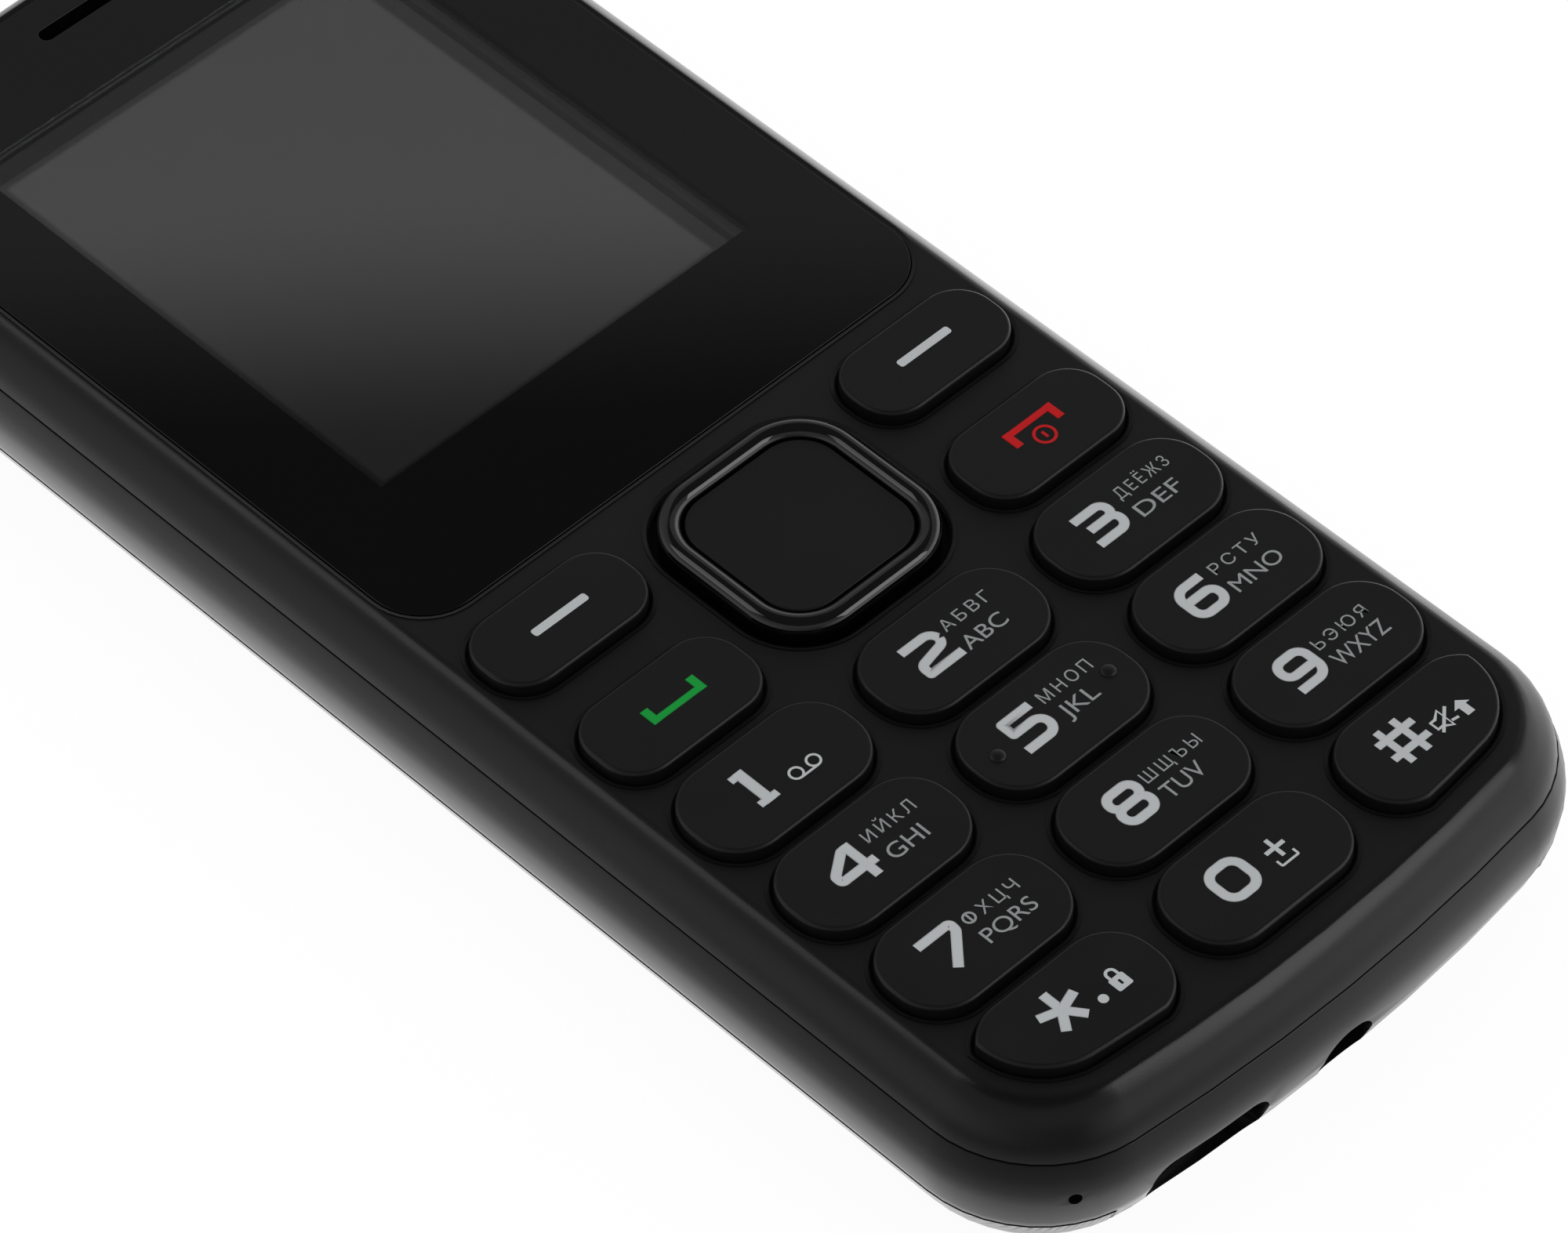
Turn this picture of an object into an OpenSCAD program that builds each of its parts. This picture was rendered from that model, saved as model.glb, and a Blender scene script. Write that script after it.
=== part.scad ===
// Feature phone: a keypad phone with a small screen, taken apart into its real pieces.
// Millimetres. The phone lies on its back: X to the right, Y towards the earpiece, Z out of the face.
// The origin is the middle of the flat back. Length and width follow from what the face carries.

/* [Casing] */
// Height from the flat back to the face plate
body_t = 14.5; // [14.2:0.1:16]
// Corner radius of the casing seen from the front
corner_r = 8.8; // [7.5:0.1:10]
// Radius of the gentle arch of both ends
end_r = 140; // [110:5:250]
// Height of the bezel band from the seam to the face plate
bezel_h = 3.45; // [3:0.05:3.8]
// How far the bezel band leans in from the seam to the face plate
bezel_in = 2.3; // [1.8:0.05:2.6]
// Radius of the bezel band's curve
bezel_r = 4.8; // [3.8:0.1:7]
// How far the sides bulge out below the seam
bulge = 0.7; // [0.4:0.05:0.8]
// Radius of the rolled edge round the back, which is also the height of the widest line
back_edge_r = 8; // [7.4:0.1:8.4]
// Wall thickness of both housings
wall_t = 1.7; // [1.4:0.05:1.8]
// Thickness of the face plate
face_t = 1.2; // [1:0.05:1.4]
// Open line between the two housings
seam_gap = 0.15; // [0.05:0.05:0.3]

/* [Keypad] */
// Width of a dial key
key_w = 13.1; // [12.4:0.1:13.6]
// Height of a dial key on the face
key_h = 7.15; // [6.8:0.05:7.3]
// Corner radius of a dial key
key_r = 3.25; // [2.6:0.05:3.35]
// Face left between two key columns
col_gap = 1.95; // [1.5:0.05:2.6]
// Face left between two key rows
row_gap = 1.03; // [1:0.01:1.5]
// Face left between the outer key columns and the bezel
key_side_margin = 0.8; // [0.7:0.05:1.4]
// Face left between the last key row and the bezel
key_end_margin = 1.85; // [1.6:0.05:2.8]
// Face kept clear round the casing corner by the two corner keys
key_corner_margin = 1.45; // [1.1:0.05:1.7]
// How far the key tops stand above the face plate
key_proud = 0.85; // [0.5:0.05:1.1]
// Rounding of the key top's edge
key_edge_r = 0.25; // [0.1:0.05:0.4]
// Height of a soft key on the face
soft_h = 6.2; // [5.6:0.1:6.4]
// Height of the call and end keys on the face
call_h = 6.5; // [5.8:0.1:6.7]
// Corner radius of the soft, call and end keys
side_key_r = 2.75; // [2.2:0.05:2.8]
// Face left between a soft key and the call or end key under it
side_key_gap = 3.25; // [2.6:0.05:4]
// Open moat round each key
moat = 0.2; // [0.15:0.05:0.25]
// Travel of a key
key_travel = 0.3; // [0.2:0.05:0.4]

/* [Navigation key] */
// Width across the glossy ring
nav_w = 14.9; // [14:0.1:16]
// Corner radius of the ring
nav_r = 4.5; // [3.6:0.1:5]
// Width of the ring's bar
ring_bar = 1.55; // [1.3:0.05:1.8]
// How far the ring's crest stands above the face plate
ring_proud = 1.2; // [0.9:0.05:1.5]
// How far the OK key's top stands above the face plate
ok_proud = 0.75; // [0.4:0.05:0.9]
// Open moat round the ring
nav_moat = 0.55; // [0.45:0.05:0.7]
// Open gap between the ring and the OK key
ok_gap = 0.16; // [0.16:0.02:0.3]
// Rocking angle of the ring each way
nav_tilt = 1.8; // [1:0.1:2]
// Face left between the ring and the top dial row
nav_below = 2.05; // [1.9:0.05:2.8]
// Face left between the ring and the lens
nav_above = 2.55; // [2.2:0.05:3.2]
// Face left between the ring and the keys beside it
nav_beside = 2.05; // [1.8:0.05:2.6]

/* [Display] */
// Length of the lens over the screen and the earpiece
lens_l = 57.35; // [54:0.05:60]
// Thickness of the lens
lens_t = 1; // [0.8:0.05:1.1]
// Corner radius at the lens's lower edge
lens_r = 4; // [3:0.1:5]
// Rim of the front housing beside the lens
lens_rim = 0.4; // [0.35:0.05:0.7]
// Open line round the lens
lens_gap = 0.05; // [0.05:0.05:0.2]
// How far the lens stands above the face plate
lens_proud = 0.06; // [0:0.02:0.2]
// Thickness of the adhesive under the lens
adhesive_t = 0.15; // [0.1:0.05:0.2]
// Black border from the lens's side to the clear window
window_side = 6.8; // [6:0.1:7.6]
// Black border from the lens's lower edge to the clear window
window_below = 10.65; // [9:0.05:12]
// Black border from the lens's top edge to the clear window
window_above = 8.9; // [8.6:0.1:10]
// Thickness of the LCD module
lcd_t = 2.4; // [2.1:0.05:2.5]
// Length of the earpiece slot
ear_l = 9.4; // [8:0.1:12]
// Width of the earpiece slot
ear_w = 1.1; // [0.8:0.05:1.4]
// Distance of the earpiece slot from the lens's top edge
ear_below_top = 3; // [2.7:0.1:3.4]

/* [Ports] */
// Place of the headphone jack across the bottom end
jack_x = -0.25; // [-1:0.05:1]
// Bore radius of the headphone jack
jack_bore_r = 1.8; // [1.76:0.01:1.85]
// Radius of the hole in the bottom end over the jack
jack_mouth_r = 2.15; // [2:0.05:2.4]
// Length of the headphone jack's body
jack_l = 10.8; // [10.2:0.1:10.9]
// Place of the micro-USB connector across the bottom end
usb_x = -11.4; // [-11.8:0.1:-10.8]
// Width of the micro-USB cut-out
usb_mouth_w = 9.15; // [8.8:0.05:9.4]
// Height of the micro-USB cut-out
usb_mouth_h = 3.8; // [3.3:0.1:3.9]
// Height of both ports above the back
port_z = 5.65; // [5.5:0.05:5.8]
// Length of the block that carries the ports
port_block_l = 15; // [14.6:0.1:17]
// Thickness of the port board
port_board_t = 0.8; // [0.6:0.05:1]

/* [Battery and cover] */
// Width of the battery
battery_w = 34; // [32:0.2:35]
// Length of the battery
battery_l = 53; // [50:0.5:55]
// Thickness of the battery
battery_t = 5.4; // [4.8:0.1:5.6]
// Room left round the battery
battery_gap = 0.3; // [0.2:0.05:0.4]
// Height of the battery cover's rim
cover_h = 5.5; // [5:0.1:5.8]
// Wall thickness of the battery cover
cover_t = 1; // [0.8:0.05:1.1]
// Open line between the battery cover and the rear housing
cover_gap = 0.1; // [0.05:0.05:0.15]
// Width of the port chin that the cover leaves free at the bottom end
chin_w = 36.4; // [35:0.2:37]
// Length of the port chin on the back
chin_l = 7; // [6.6:0.1:9]

/* [Boards and fixings] */
// Thickness of the main board
board_t = 0.9; // [0.7:0.05:1]
// Wall thickness of the rear housing's inner deck
deck_t = 0.8; // [0.6:0.05:0.9]
// Radius of a screw's shank
screw_r = 0.7; // [0.6:0.05:0.8]
// Radius of a screw's head
screw_head_r = 1.4; // [1.2:0.05:1.5]
// Outer radius of a screw boss
boss_r = 2.1; // [1.9:0.05:2.1]
// Radius of the loudspeaker
speaker_r = 8; // [7:0.1:8.4]
// Radius of the vibration motor
motor_r = 2; // [1.7:0.05:2.1]

/* [Hidden] */
$fn = 48;
ease = 0.05;              // smallest gap between pieces that sit against each other
overlap = 0.3;            // how deep fused features reach into each other
corner_steps = 10;        // straight steps of a casing corner
end_steps = 6;            // straight steps of an arched end
edge_steps = 7;           // straight steps of a rolled edge
side_steps = 3;           // straight steps of the side between its widest line and the seam
crest_steps = 10;         // straight steps of the ring's half-round crest

// The face decides the outline: three key columns, and the stack from the last key row to the lens.
body_w = 3 * key_w + 2 * (col_gap + key_side_margin + bezel_in);
dial_l = 4 * key_h + 3 * row_gap;
body_l = 2 * bezel_in + key_end_margin + dial_l + nav_below + nav_w + nav_above + lens_l + lens_rim;
half_w = body_w / 2;
half_l = body_l / 2;
corner_x = half_w - corner_r;
end_y = half_l - end_r;
corner_y = end_y + sqrt(pow(end_r - corner_r, 2) - pow(corner_x, 2));
end_a = asin(corner_x / (end_r - corner_r));

// Heights, from the face plate down to the main board
z_seam = body_t - bezel_h;
z_plate = body_t - face_t;
z_lens_top = body_t + lens_proud;
z_lens = z_lens_top - lens_t;
z_pocket = z_lens - adhesive_t;
shelf_t = 0.6;
z_shelf = z_pocket - shelf_t;
lcd_foam = 0.1;           // foam gap between the shelf and the LCD
z_board = z_shelf - lcd_foam - lcd_t;
z_under = z_board - board_t;
flange_t = 0.4;
flange_out = moat + 0.25; // how far a key's flange reaches under the face plate
z_flange = z_plate - ease - flange_t;
press_room = key_travel + ease;
mat_t = 0.6;
z_mat = z_flange - press_room - mat_t;
dome_sheet_t = 0.15;
dome_h = 0.25;
dome_r = 2.2;
z_domes = z_board + dome_sheet_t;
z_stem = z_domes + dome_h + press_room;
stem_r = 1.6;

// Lean of the bezel band at the seam and at the face plate, and the radius of the side between widest line and seam
bezel_lean = atan2(bezel_in, bezel_h);
bezel_half = asin(norm([bezel_in, bezel_h]) / (2 * bezel_r));
bezel_a0 = bezel_lean - bezel_half;
bezel_a1 = bezel_lean + bezel_half;
z_wide = back_edge_r;
side_r = (bulge * bulge + pow(z_seam - z_wide, 2)) / (2 * bulge);

// Heights, from the back up to the rear housing's deck
z_battery = cover_t + 0.15;
z_pocket_top = z_battery + battery_t + 0.25;
z_box_top = z_pocket_top + deck_t;
z_deck = 3.2;
z_deck_top = z_deck + deck_t;
ledge_w = 1;              // width of the ledge that carries the main board
board_gap = 0.25;

// Places along the phone
dial_y = -half_l + bezel_in + key_end_margin + key_h / 2;
row_pitch = key_h + row_gap;
col_pitch = key_w + col_gap;
key_edge_x = half_w - bezel_in - key_side_margin;
nav_y = dial_y + 3 * row_pitch + key_h / 2 + nav_below + nav_w / 2;
lens_y0 = nav_y + nav_w / 2 + nav_above;
lens_y1 = lens_y0 + lens_l;
lens_in = bezel_in + lens_rim;
lens_w = body_w - 2 * lens_in;
window_w = lens_w - 2 * window_side;
window_y0 = lens_y0 + window_below;
window_y1 = lens_y1 - window_above;
window_l = window_y1 - window_y0;
window_y = (window_y0 + window_y1) / 2;
shelf_margin = 0.8;       // shelf opening beyond the clear window
ear_y = lens_y1 - ear_below_top;

// LCD module: the window and a border, wider at the lower edge where its driver is
lcd_side = 1.9;
lcd_below = 5.7;
lcd_above = 1;
lcd_w = window_w + 2 * lcd_side;
lcd_y0 = window_y0 - lcd_below;
lcd_y1 = window_y1 + lcd_above;
lcd_wall = 0.5;
lcd_floor = 0.6;

// Keys beside the navigation ring reach from the ring to the line of the outer key columns
side_key_w = key_edge_x - nav_w / 2 - nav_beside;
side_key_x = key_edge_x - side_key_w / 2;
soft_y = nav_y + side_key_gap / 2 + soft_h / 2;
call_y = nav_y - side_key_gap / 2 - call_h / 2;

// Each key: name, place, width, height, corner radius, and whether the casing corner cuts it
DIAL = [["key_star", "key_0", "key_hash"], ["key_7", "key_8", "key_9"],
        ["key_4", "key_5", "key_6"], ["key_1", "key_2", "key_3"]];
SIDE_KEYS = [["soft_key_left", -side_key_x, soft_y, side_key_w, soft_h, side_key_r, false],
             ["soft_key_right", side_key_x, soft_y, side_key_w, soft_h, side_key_r, false],
             ["call_key", -side_key_x, call_y, side_key_w, call_h, side_key_r, false],
             ["end_key", side_key_x, call_y, side_key_w, call_h, side_key_r, false]];
DIAL_KEYS = [for (row = [0:3], col = [0:2])
    [DIAL[row][col], (col - 1) * col_pitch, dial_y + row * row_pitch, key_w, key_h, key_r, row == 0 && col != 1]];
KEYS = concat(SIDE_KEYS, DIAL_KEYS);

// Navigation key: a rocking base on two feet, the ring rocking on the base, and the OK key between
nav_half = nav_w / 2;
nav_lip = 0.55;           // base beyond the ring's moat
base_half = nav_half + nav_moat + nav_lip;
base_t = 0.5;
base_rise = base_half * sin(nav_tilt) + ease;
z_base_top = z_plate - base_rise;
z_base = z_base_top - base_t;
ridge_r = nav_half * sin(nav_tilt) + 0.08;
z_ring = z_base_top + ridge_r + ease / 2;
foot_r = 0.5;
foot_x = nav_half - 0.4;
z_foot = z_domes + ease / 2 + foot_r;
z_ring_top = body_t + ring_proud;
ok_w = nav_w - 2 * (ring_bar + ok_gap);
ok_r = nav_r - ring_bar - ok_gap;
base_hole = ok_w - 2;     // opening of the base round the OK key's neck
neck_gap = 0.5;           // room round the OK key's neck
ok_edge_r = 0.12;         // rounding of the OK key's top edge
z_ok = z_base_top + base_half * sin(nav_tilt) + press_room;
mat_nav_w = 2 * base_half + 1;

// Battery pocket, and the box of deck walls round it
pocket_y0 = -half_l + port_block_l + ease;
pocket_w = battery_w + 2 * battery_gap;
pocket_l = battery_l + 2 * battery_gap;
pocket_y1 = pocket_y0 + pocket_l;
pocket_y = (pocket_y0 + pocket_y1) / 2;
box_w = pocket_w + 2 * deck_t;
box_y1 = pocket_y1 + deck_t;

// Screws: a pair at the top corners, a pair above the battery, a pair beside the port block
boss_wall_x = half_w - wall_t - ledge_w - boss_r - 0.1;
top_boss_in = 7.2;
top_boss_end = 6.9;
mid_boss_y = box_y1 + boss_r + 3.2;
low_boss_y = -half_l + 11.2;
BOSSES = [[half_w - top_boss_in, half_l - top_boss_end, z_shelf + overlap],
          [boss_wall_x, mid_boss_y, z_shelf + overlap],
          [boss_wall_x, low_boss_y, z_flange - press_room - ease]];
screw_l = 8;
screw_head_h = 1;
pilot_gap = 0.02;
z_boss = z_deck_top + ease;

// Ports
port_wall_y = -half_l + wall_t + 0.4;      // inner face of the end wall at the micro-USB port
jack_wall_y = port_wall_y + 0.2;           // inner face of the end wall at the jack, whose body reaches lower
port_gap = 0.15;
z_block = z_battery;
jack_half = 2.5;
jack_body_w = 6.2;
jack_y0 = jack_wall_y + port_gap;
jack_back = 0.8;                           // closed end of the jack's bore
jack_bore_l = jack_l - jack_back;
usb_w = 7.6;
usb_t = 2.6;
usb_l = 5.4;
usb_wall = 0.3;
usb_chamfer = 1.1;
usb_back = 0.1;                            // shell's mouth behind the end wall's inner face
usb_tongue_w = 4;
usb_tongue_t = 0.6;
usb_tongue_back = 0.8;                     // tongue's tip behind the shell's mouth
z_port_board = port_z + usb_t / 2 + ease;
port_board_in = 0.4;                       // port board's edge from the edge of the port block
port_board_end = 4.4;                      // port board's distance from the bottom end
block_x0 = usb_x - 4.6;
block_x1 = jack_x + jack_body_w / 2 + 1.6;
block_y1 = -half_l + port_block_l;
mic_a = 237.45;                            // direction of the microphone hole round the corner
mic_z = 8.45;
mic_r = 0.9;
mic_t = 1.6;
mic_hole_r = 0.42;

// Pieces in the upper bay, over the deck
camera_end = 11.5;        // camera's distance from the top end
camera_y = half_l - camera_end;
camera_w = 8;
barrel_r = 2.8;
camera_window_r = 3.8;
camera_window_t = 0.7;
speaker_x = -11.5;
speaker_end = 25.4;       // loudspeaker's distance from the top end
speaker_y = half_l - speaker_end;
speaker_t = 3.2;
slot_count = 5;
slot_w = 0.9;
slot_pitch = 2.1;
carrier_x0 = 5;
carrier_w = 9.2;
carrier_l = 13;
carrier_end = 4;          // antenna carrier's distance from the top end
carrier_y0 = half_l - carrier_end - carrier_l;
motor_x = 12;
motor_l = 7;
motor_gap = 0.5;          // free end of the motor's shaft to the antenna carrier
motor_z = z_deck_top + motor_r + 0.15;
weight_r = motor_r - 0.1;
weight_l = 3.4;
shaft_r = 0.4;
shaft_l = 4.4;
shaft_gap = 0.04;
motor_y = carrier_y0 - motor_gap - shaft_l - motor_l;
carrier_room = 1.2;       // antenna carrier to the main board
carrier_t = z_under - z_deck_top - carrier_room;
antenna_t = 0.15;
contacts_w = 9;
contacts_l = 3;
can_gap = 0.2;            // shield can to the deck
can_w = 26;
can_l = 22;
can_t = 0.25;
can_end = 5;              // shield can's distance from the pocket's lower end
can_y = pocket_y0 + can_end + can_l / 2;
sim_w = 13.5;
sim_l = 15;
sim_x = 8;
sim_gap = 0.3;            // SIM sockets to the shield can
sim_y = can_y + can_l / 2 + sim_gap + sim_l / 2;

// Points along an arc, ends included
function arc(centre, r, from, to, steps) =
    [for (i = [0:steps]) let (a = from + (to - from) * i / steps) centre + r * [cos(a), sin(a)]];

// Points along an arc, ends left out
function inner_arc(centre, r, from, to, steps) =
    [for (i = [1:steps - 1]) let (a = from + (to - from) * i / steps) centre + r * [cos(a), sin(a)]];

// Upper half of the casing's plan, drawn in by an inset
function casing_top(inset) = concat(
    arc([corner_x, corner_y], corner_r - inset, 0, 90 - end_a, corner_steps),
    inner_arc([0, end_y], end_r - inset, 90 - end_a, 90 + end_a, end_steps),
    arc([-corner_x, corner_y], corner_r - inset, 90 + end_a, 180, corner_steps));

// Whole plan of the casing, drawn in by an inset: the lower half is the upper one turned round
function casing(inset) = concat(casing_top(inset), [for (p = casing_top(inset)) -p]);

// Plan of the lens: the casing's upper half, and a straight lower edge with round corners
function lens_plan(grow = 0) =
    let (x = lens_w / 2 - lens_r, y = lens_y0 + lens_r, r = lens_r + grow)
    concat(casing_top(lens_in - grow), arc([-x, y], r, 180, 270, corner_steps), arc([x, y], r, 270, 360, corner_steps));

// Inset of the side at a height below the seam, for the outer skin or a skin further in
function side_inset(z, skin = 0) = z >= z_wide
    ? skin - bulge + side_r - sqrt(side_r * side_r - pow(z - z_wide, 2))
    : back_edge_r - bulge - sqrt(pow(back_edge_r - skin, 2) - pow(back_edge_r - z, 2));

// Inset and height of the bezel band where it leans in by an angle
function bezel_point(a) = [bezel_r * (cos(bezel_a0) - cos(a)), z_seam + bezel_r * (sin(a) - sin(bezel_a0))];

// Solid through level plans of the casing, given as inset and height from the lowest up
module loft(levels) {
    rings = [for (level = levels) [for (p = casing(level[0])) [p.x, p.y, level[1]]]];
    count = len(rings[0]);
    top = len(rings) - 1;
    points = [for (ring = rings) for (p = ring) p];
    sides = [for (i = [0:top - 1], j = [0:count - 1]) let (k = (j + 1) % count)
        [i * count + j, (i + 1) * count + j, (i + 1) * count + k, i * count + k]];
    polyhedron(points, concat([[for (j = [0:count - 1]) j]],
                              [[for (j = [count - 1:-1:0]) top * count + j]], sides));
}

// Straight prism over a plan given as points
module prism(points, z0, z1) translate([0, 0, z0]) linear_extrude(z1 - z0) polygon(points);

// Block between two corners
module block(low, high) translate(low) cube(high - low);

// Flat shape with four round corners
module round_rect(w, h, r) {
    square([w - 2 * r, h], center = true);
    square([w, h - 2 * r], center = true);
    for (x = [-1, 1], y = [-1, 1]) translate([x * (w / 2 - r), y * (h / 2 - r)]) circle(r);
}

// Slab with round corners
module slab(w, h, r, z0, z1) translate([0, 0, z0]) linear_extrude(z1 - z0) round_rect(w, h, r);

// Points round a rounded square, drawn in by an inset
function square_path(w, r, inset) = [for (q = [0:3], p = arc(quarter(q, w / 2 - r), r - inset, 90 * q, 90 * q + 90, corner_steps)) p];

// Corner of a square with a half width, by quarter turns
function quarter(q, half) = half * [q == 0 || q == 3 ? 1 : -1, q < 2 ? 1 : -1];

// Ring of a bar's profile round a rounded square: the profile's x runs inwards from the outer edge
module ring_sweep(w, r, profile) {
    rows = len(profile);
    paths = [for (p = profile) [for (q = square_path(w, r, p.x)) [q.x, q.y, p.y]]];
    count = len(paths[0]);
    polyhedron([for (path = paths) for (p = path) p],
               [for (i = [0:rows - 1], j = [0:count - 1]) let (m = (i + 1) % rows, k = (j + 1) % count)
                   [i * count + j, m * count + j, m * count + k, i * count + k]]);
}

// Slab with round corners and a rounded top edge
module cap(w, h, r, z0, z1, edge) {
    slab(w, h, r, z0, z1 - edge);
    translate([0, 0, z1 - edge]) {
        linear_extrude(edge) {
            square([w - 2 * r, h - 2 * edge], center = true);
            square([w - 2 * edge, h - 2 * r], center = true);
        }
        for (x = [-1, 1], y = [-1, 1])
            translate([x * (w / 2 - r), y * (h / 2 - r), 0]) rotate_extrude() edge_profile(r, edge);
        for (y = [-1, 1]) translate([0, y * (h / 2 - edge), 0]) rotate([0, 90, 0])
            half_bar(edge, w - 2 * r);
        for (x = [-1, 1]) translate([x * (w / 2 - edge), 0, 0]) rotate([90, 0, 0])
            half_bar(edge, h - 2 * r);
    }
}

// Round top edge of a corner, turned about the corner's axis
module edge_profile(r, edge) {
    square([r - edge, edge]);
    translate([r - edge, 0]) intersection() {
        circle(edge);
        square(edge);
    }
}

// Round top edge along a straight side
module half_bar(edge, length) cylinder(r = edge, h = length, center = true);

// Both of a pair of screw places, and the height where its boss ends
module at_bosses() for (b = BOSSES, side = [-1, 1]) translate([side * b.x, b.y, 0]) {
    $boss_top = b.z;
    $boss_side = side;
    children();
}

// Plan of one key, grown by a margin and cut back round the casing corner where it is a corner key
module key_plan(key, grow) {
    intersection() {
        translate([key[1], key[2]]) round_rect(key[3] + 2 * grow, key[4] + 2 * grow, key[5] + grow);
        if (key[6]) polygon(casing(bezel_in + key_corner_margin - grow));
        else square(2 * body_l, center = true);
    }
}

// Front housing: face plate and bezel band in one moulding, with a lens pocket, key holes and screw bosses
module front_housing() color("#2a2a2a") {
    bezel_levels = [for (i = [0:edge_steps]) bezel_point(bezel_a0 + (bezel_a1 - bezel_a0) * i / edge_steps)];
    difference() {
        union() {
            difference() {
                loft(bezel_levels);
                prism(casing(wall_t), z_seam - 1, z_plate);
            }
            prism(lens_plan(lens_in - wall_t + overlap), z_shelf, z_plate + overlap);
            at_bosses() {
                translate([0, 0, z_boss]) cylinder(r = boss_r, h = $boss_top - z_boss);
                translate([$boss_side * (half_w - wall_t + overlap - boss_wall_x) / 2, 0, (z_seam + ease + $boss_top) / 2])
                    if ($boss_top < z_shelf)
                        cube([half_w - wall_t + overlap - boss_wall_x, boss_r, $boss_top - z_seam - ease], center = true);
            }
        }
        prism(lens_plan(lens_gap), z_pocket, body_t + 1);
        translate([0, window_y, z_shelf - 1]) linear_extrude(shelf_t + 2)
            square([window_w + 2 * shelf_margin, window_l + 2 * shelf_margin], center = true);
        translate([0, ear_y, 0]) slab(ear_l + 1, ear_w + 0.6, ear_w / 2, z_shelf - 1, z_pocket + 1);
        for (k = KEYS) translate([0, 0, z_plate - 1]) linear_extrude(face_t + 2) key_plan(k, moat);
        translate([0, nav_y, 0]) slab(nav_w + 2 * nav_moat, nav_w + 2 * nav_moat, nav_r + nav_moat, z_plate - 1, body_t + 1);
        at_bosses() translate([0, 0, z_boss - 1]) cylinder(r = screw_r + pilot_gap, h = screw_l - deck_t + 1);
    }
}

// Display lens: flat window with the earpiece slot, set in the pocket of the front housing
module display_lens() color("#101112") difference() {
    prism(lens_plan(), z_lens, z_lens_top);
    translate([0, ear_y, 0]) slab(ear_l, ear_w, ear_w / 2 - 0.01, z_lens - 1, z_lens_top + 1);
}

// Adhesive frame that holds the lens on the shelf
module lens_adhesive() color("#181818") difference() {
    prism(lens_plan(-overlap), z_pocket, z_lens);
    translate([0, window_y, z_pocket - 1]) linear_extrude(adhesive_t + 2)
        square([window_w + 2 * shelf_margin, window_l + 2 * shelf_margin], center = true);
    translate([0, ear_y, 0]) slab(ear_l + 1, ear_w + 0.6, ear_w / 2, z_pocket - 1, z_lens + 1);
}

// LCD panel, lying in its frame
module lcd_panel() color("#4a4b4c")
    block([-lcd_w / 2 + lcd_wall + ease, lcd_y0 + lcd_wall + ease, z_board + lcd_floor],
          [lcd_w / 2 - lcd_wall - ease, lcd_y1 - lcd_wall - ease, z_board + lcd_t - ease]);

// LCD frame: shallow tray with the backlight in its floor, standing on the main board
module lcd_frame() color("#c9ccd0") difference() {
    block([-lcd_w / 2, lcd_y0, z_board], [lcd_w / 2, lcd_y1, z_board + lcd_t]);
    block([-lcd_w / 2 + lcd_wall, lcd_y0 + lcd_wall, z_board + lcd_floor],
          [lcd_w / 2 - lcd_wall, lcd_y1 - lcd_wall, z_board + lcd_t + 1]);
}

// Dust mesh behind the earpiece slot
mesh_t = 0.1;
mesh_margin = 1;
module earpiece_mesh() color("#1c1c1e") translate([0, ear_y, 0])
    slab(ear_l + 2 * mesh_margin, ear_w + 2 * mesh_margin, ear_w / 2, z_shelf - mesh_t, z_shelf);

// Earpiece receiver under the mesh, standing on the main board
receiver_w = 10;
receiver_l = 4.8;
module earpiece_receiver() color("#8d8f92") translate([0, ear_y, 0]) difference() {
    slab(receiver_w, receiver_l, 1.2, z_board, z_shelf - mesh_t - ease);
    slab(receiver_w - 2, ear_w, ear_w / 2 - 0.01, z_shelf - mesh_t - 0.5, z_shelf);
}

// One key: cap above the face, flange that the face plate holds, and stem over its dome
module key_cap(key) color("#222324") {
    intersection() {
        translate([key[1], key[2], 0]) cap(key[3], key[4], key[5], z_flange, body_t + key_proud, key_edge_r);
        if (key[6]) prism(casing(bezel_in + key_corner_margin), z_flange - 1, body_t + 2);
        else translate([0, 0, body_t]) cube(4 * body_l, center = true);
    }
    translate([0, 0, z_flange]) linear_extrude(flange_t) key_plan(key, flange_out);
    translate([key[1], key[2], z_stem]) cylinder(r = stem_r, h = z_flange - z_stem + overlap);
    if (key[0] == "key_5") for (x = [-1, 1])
        translate([key[1] + x * nub_x, key[2], body_t + key_proud]) intersection() {
            translate([0, 0, nub_h - nub_r]) sphere(nub_r);
            cylinder(r = nub_r, h = nub_r);
        }
}

// Raised touch marks on the middle dial key
nub_x = 4.7;
nub_h = 0.18;
nub_r = 0.5;

// Glossy navigation ring: a bar with a half-round crest, swept round a rounded square
module nav_ring() color("#0d0d0e") translate([0, nav_y, 0])
    ring_sweep(nav_w, nav_r, concat([[0, z_ring]],
                                    arc([ring_bar / 2, z_ring_top - ring_bar / 2], ring_bar / 2, 180, 0, crest_steps),
                                    [[ring_bar, z_ring]]));

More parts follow.
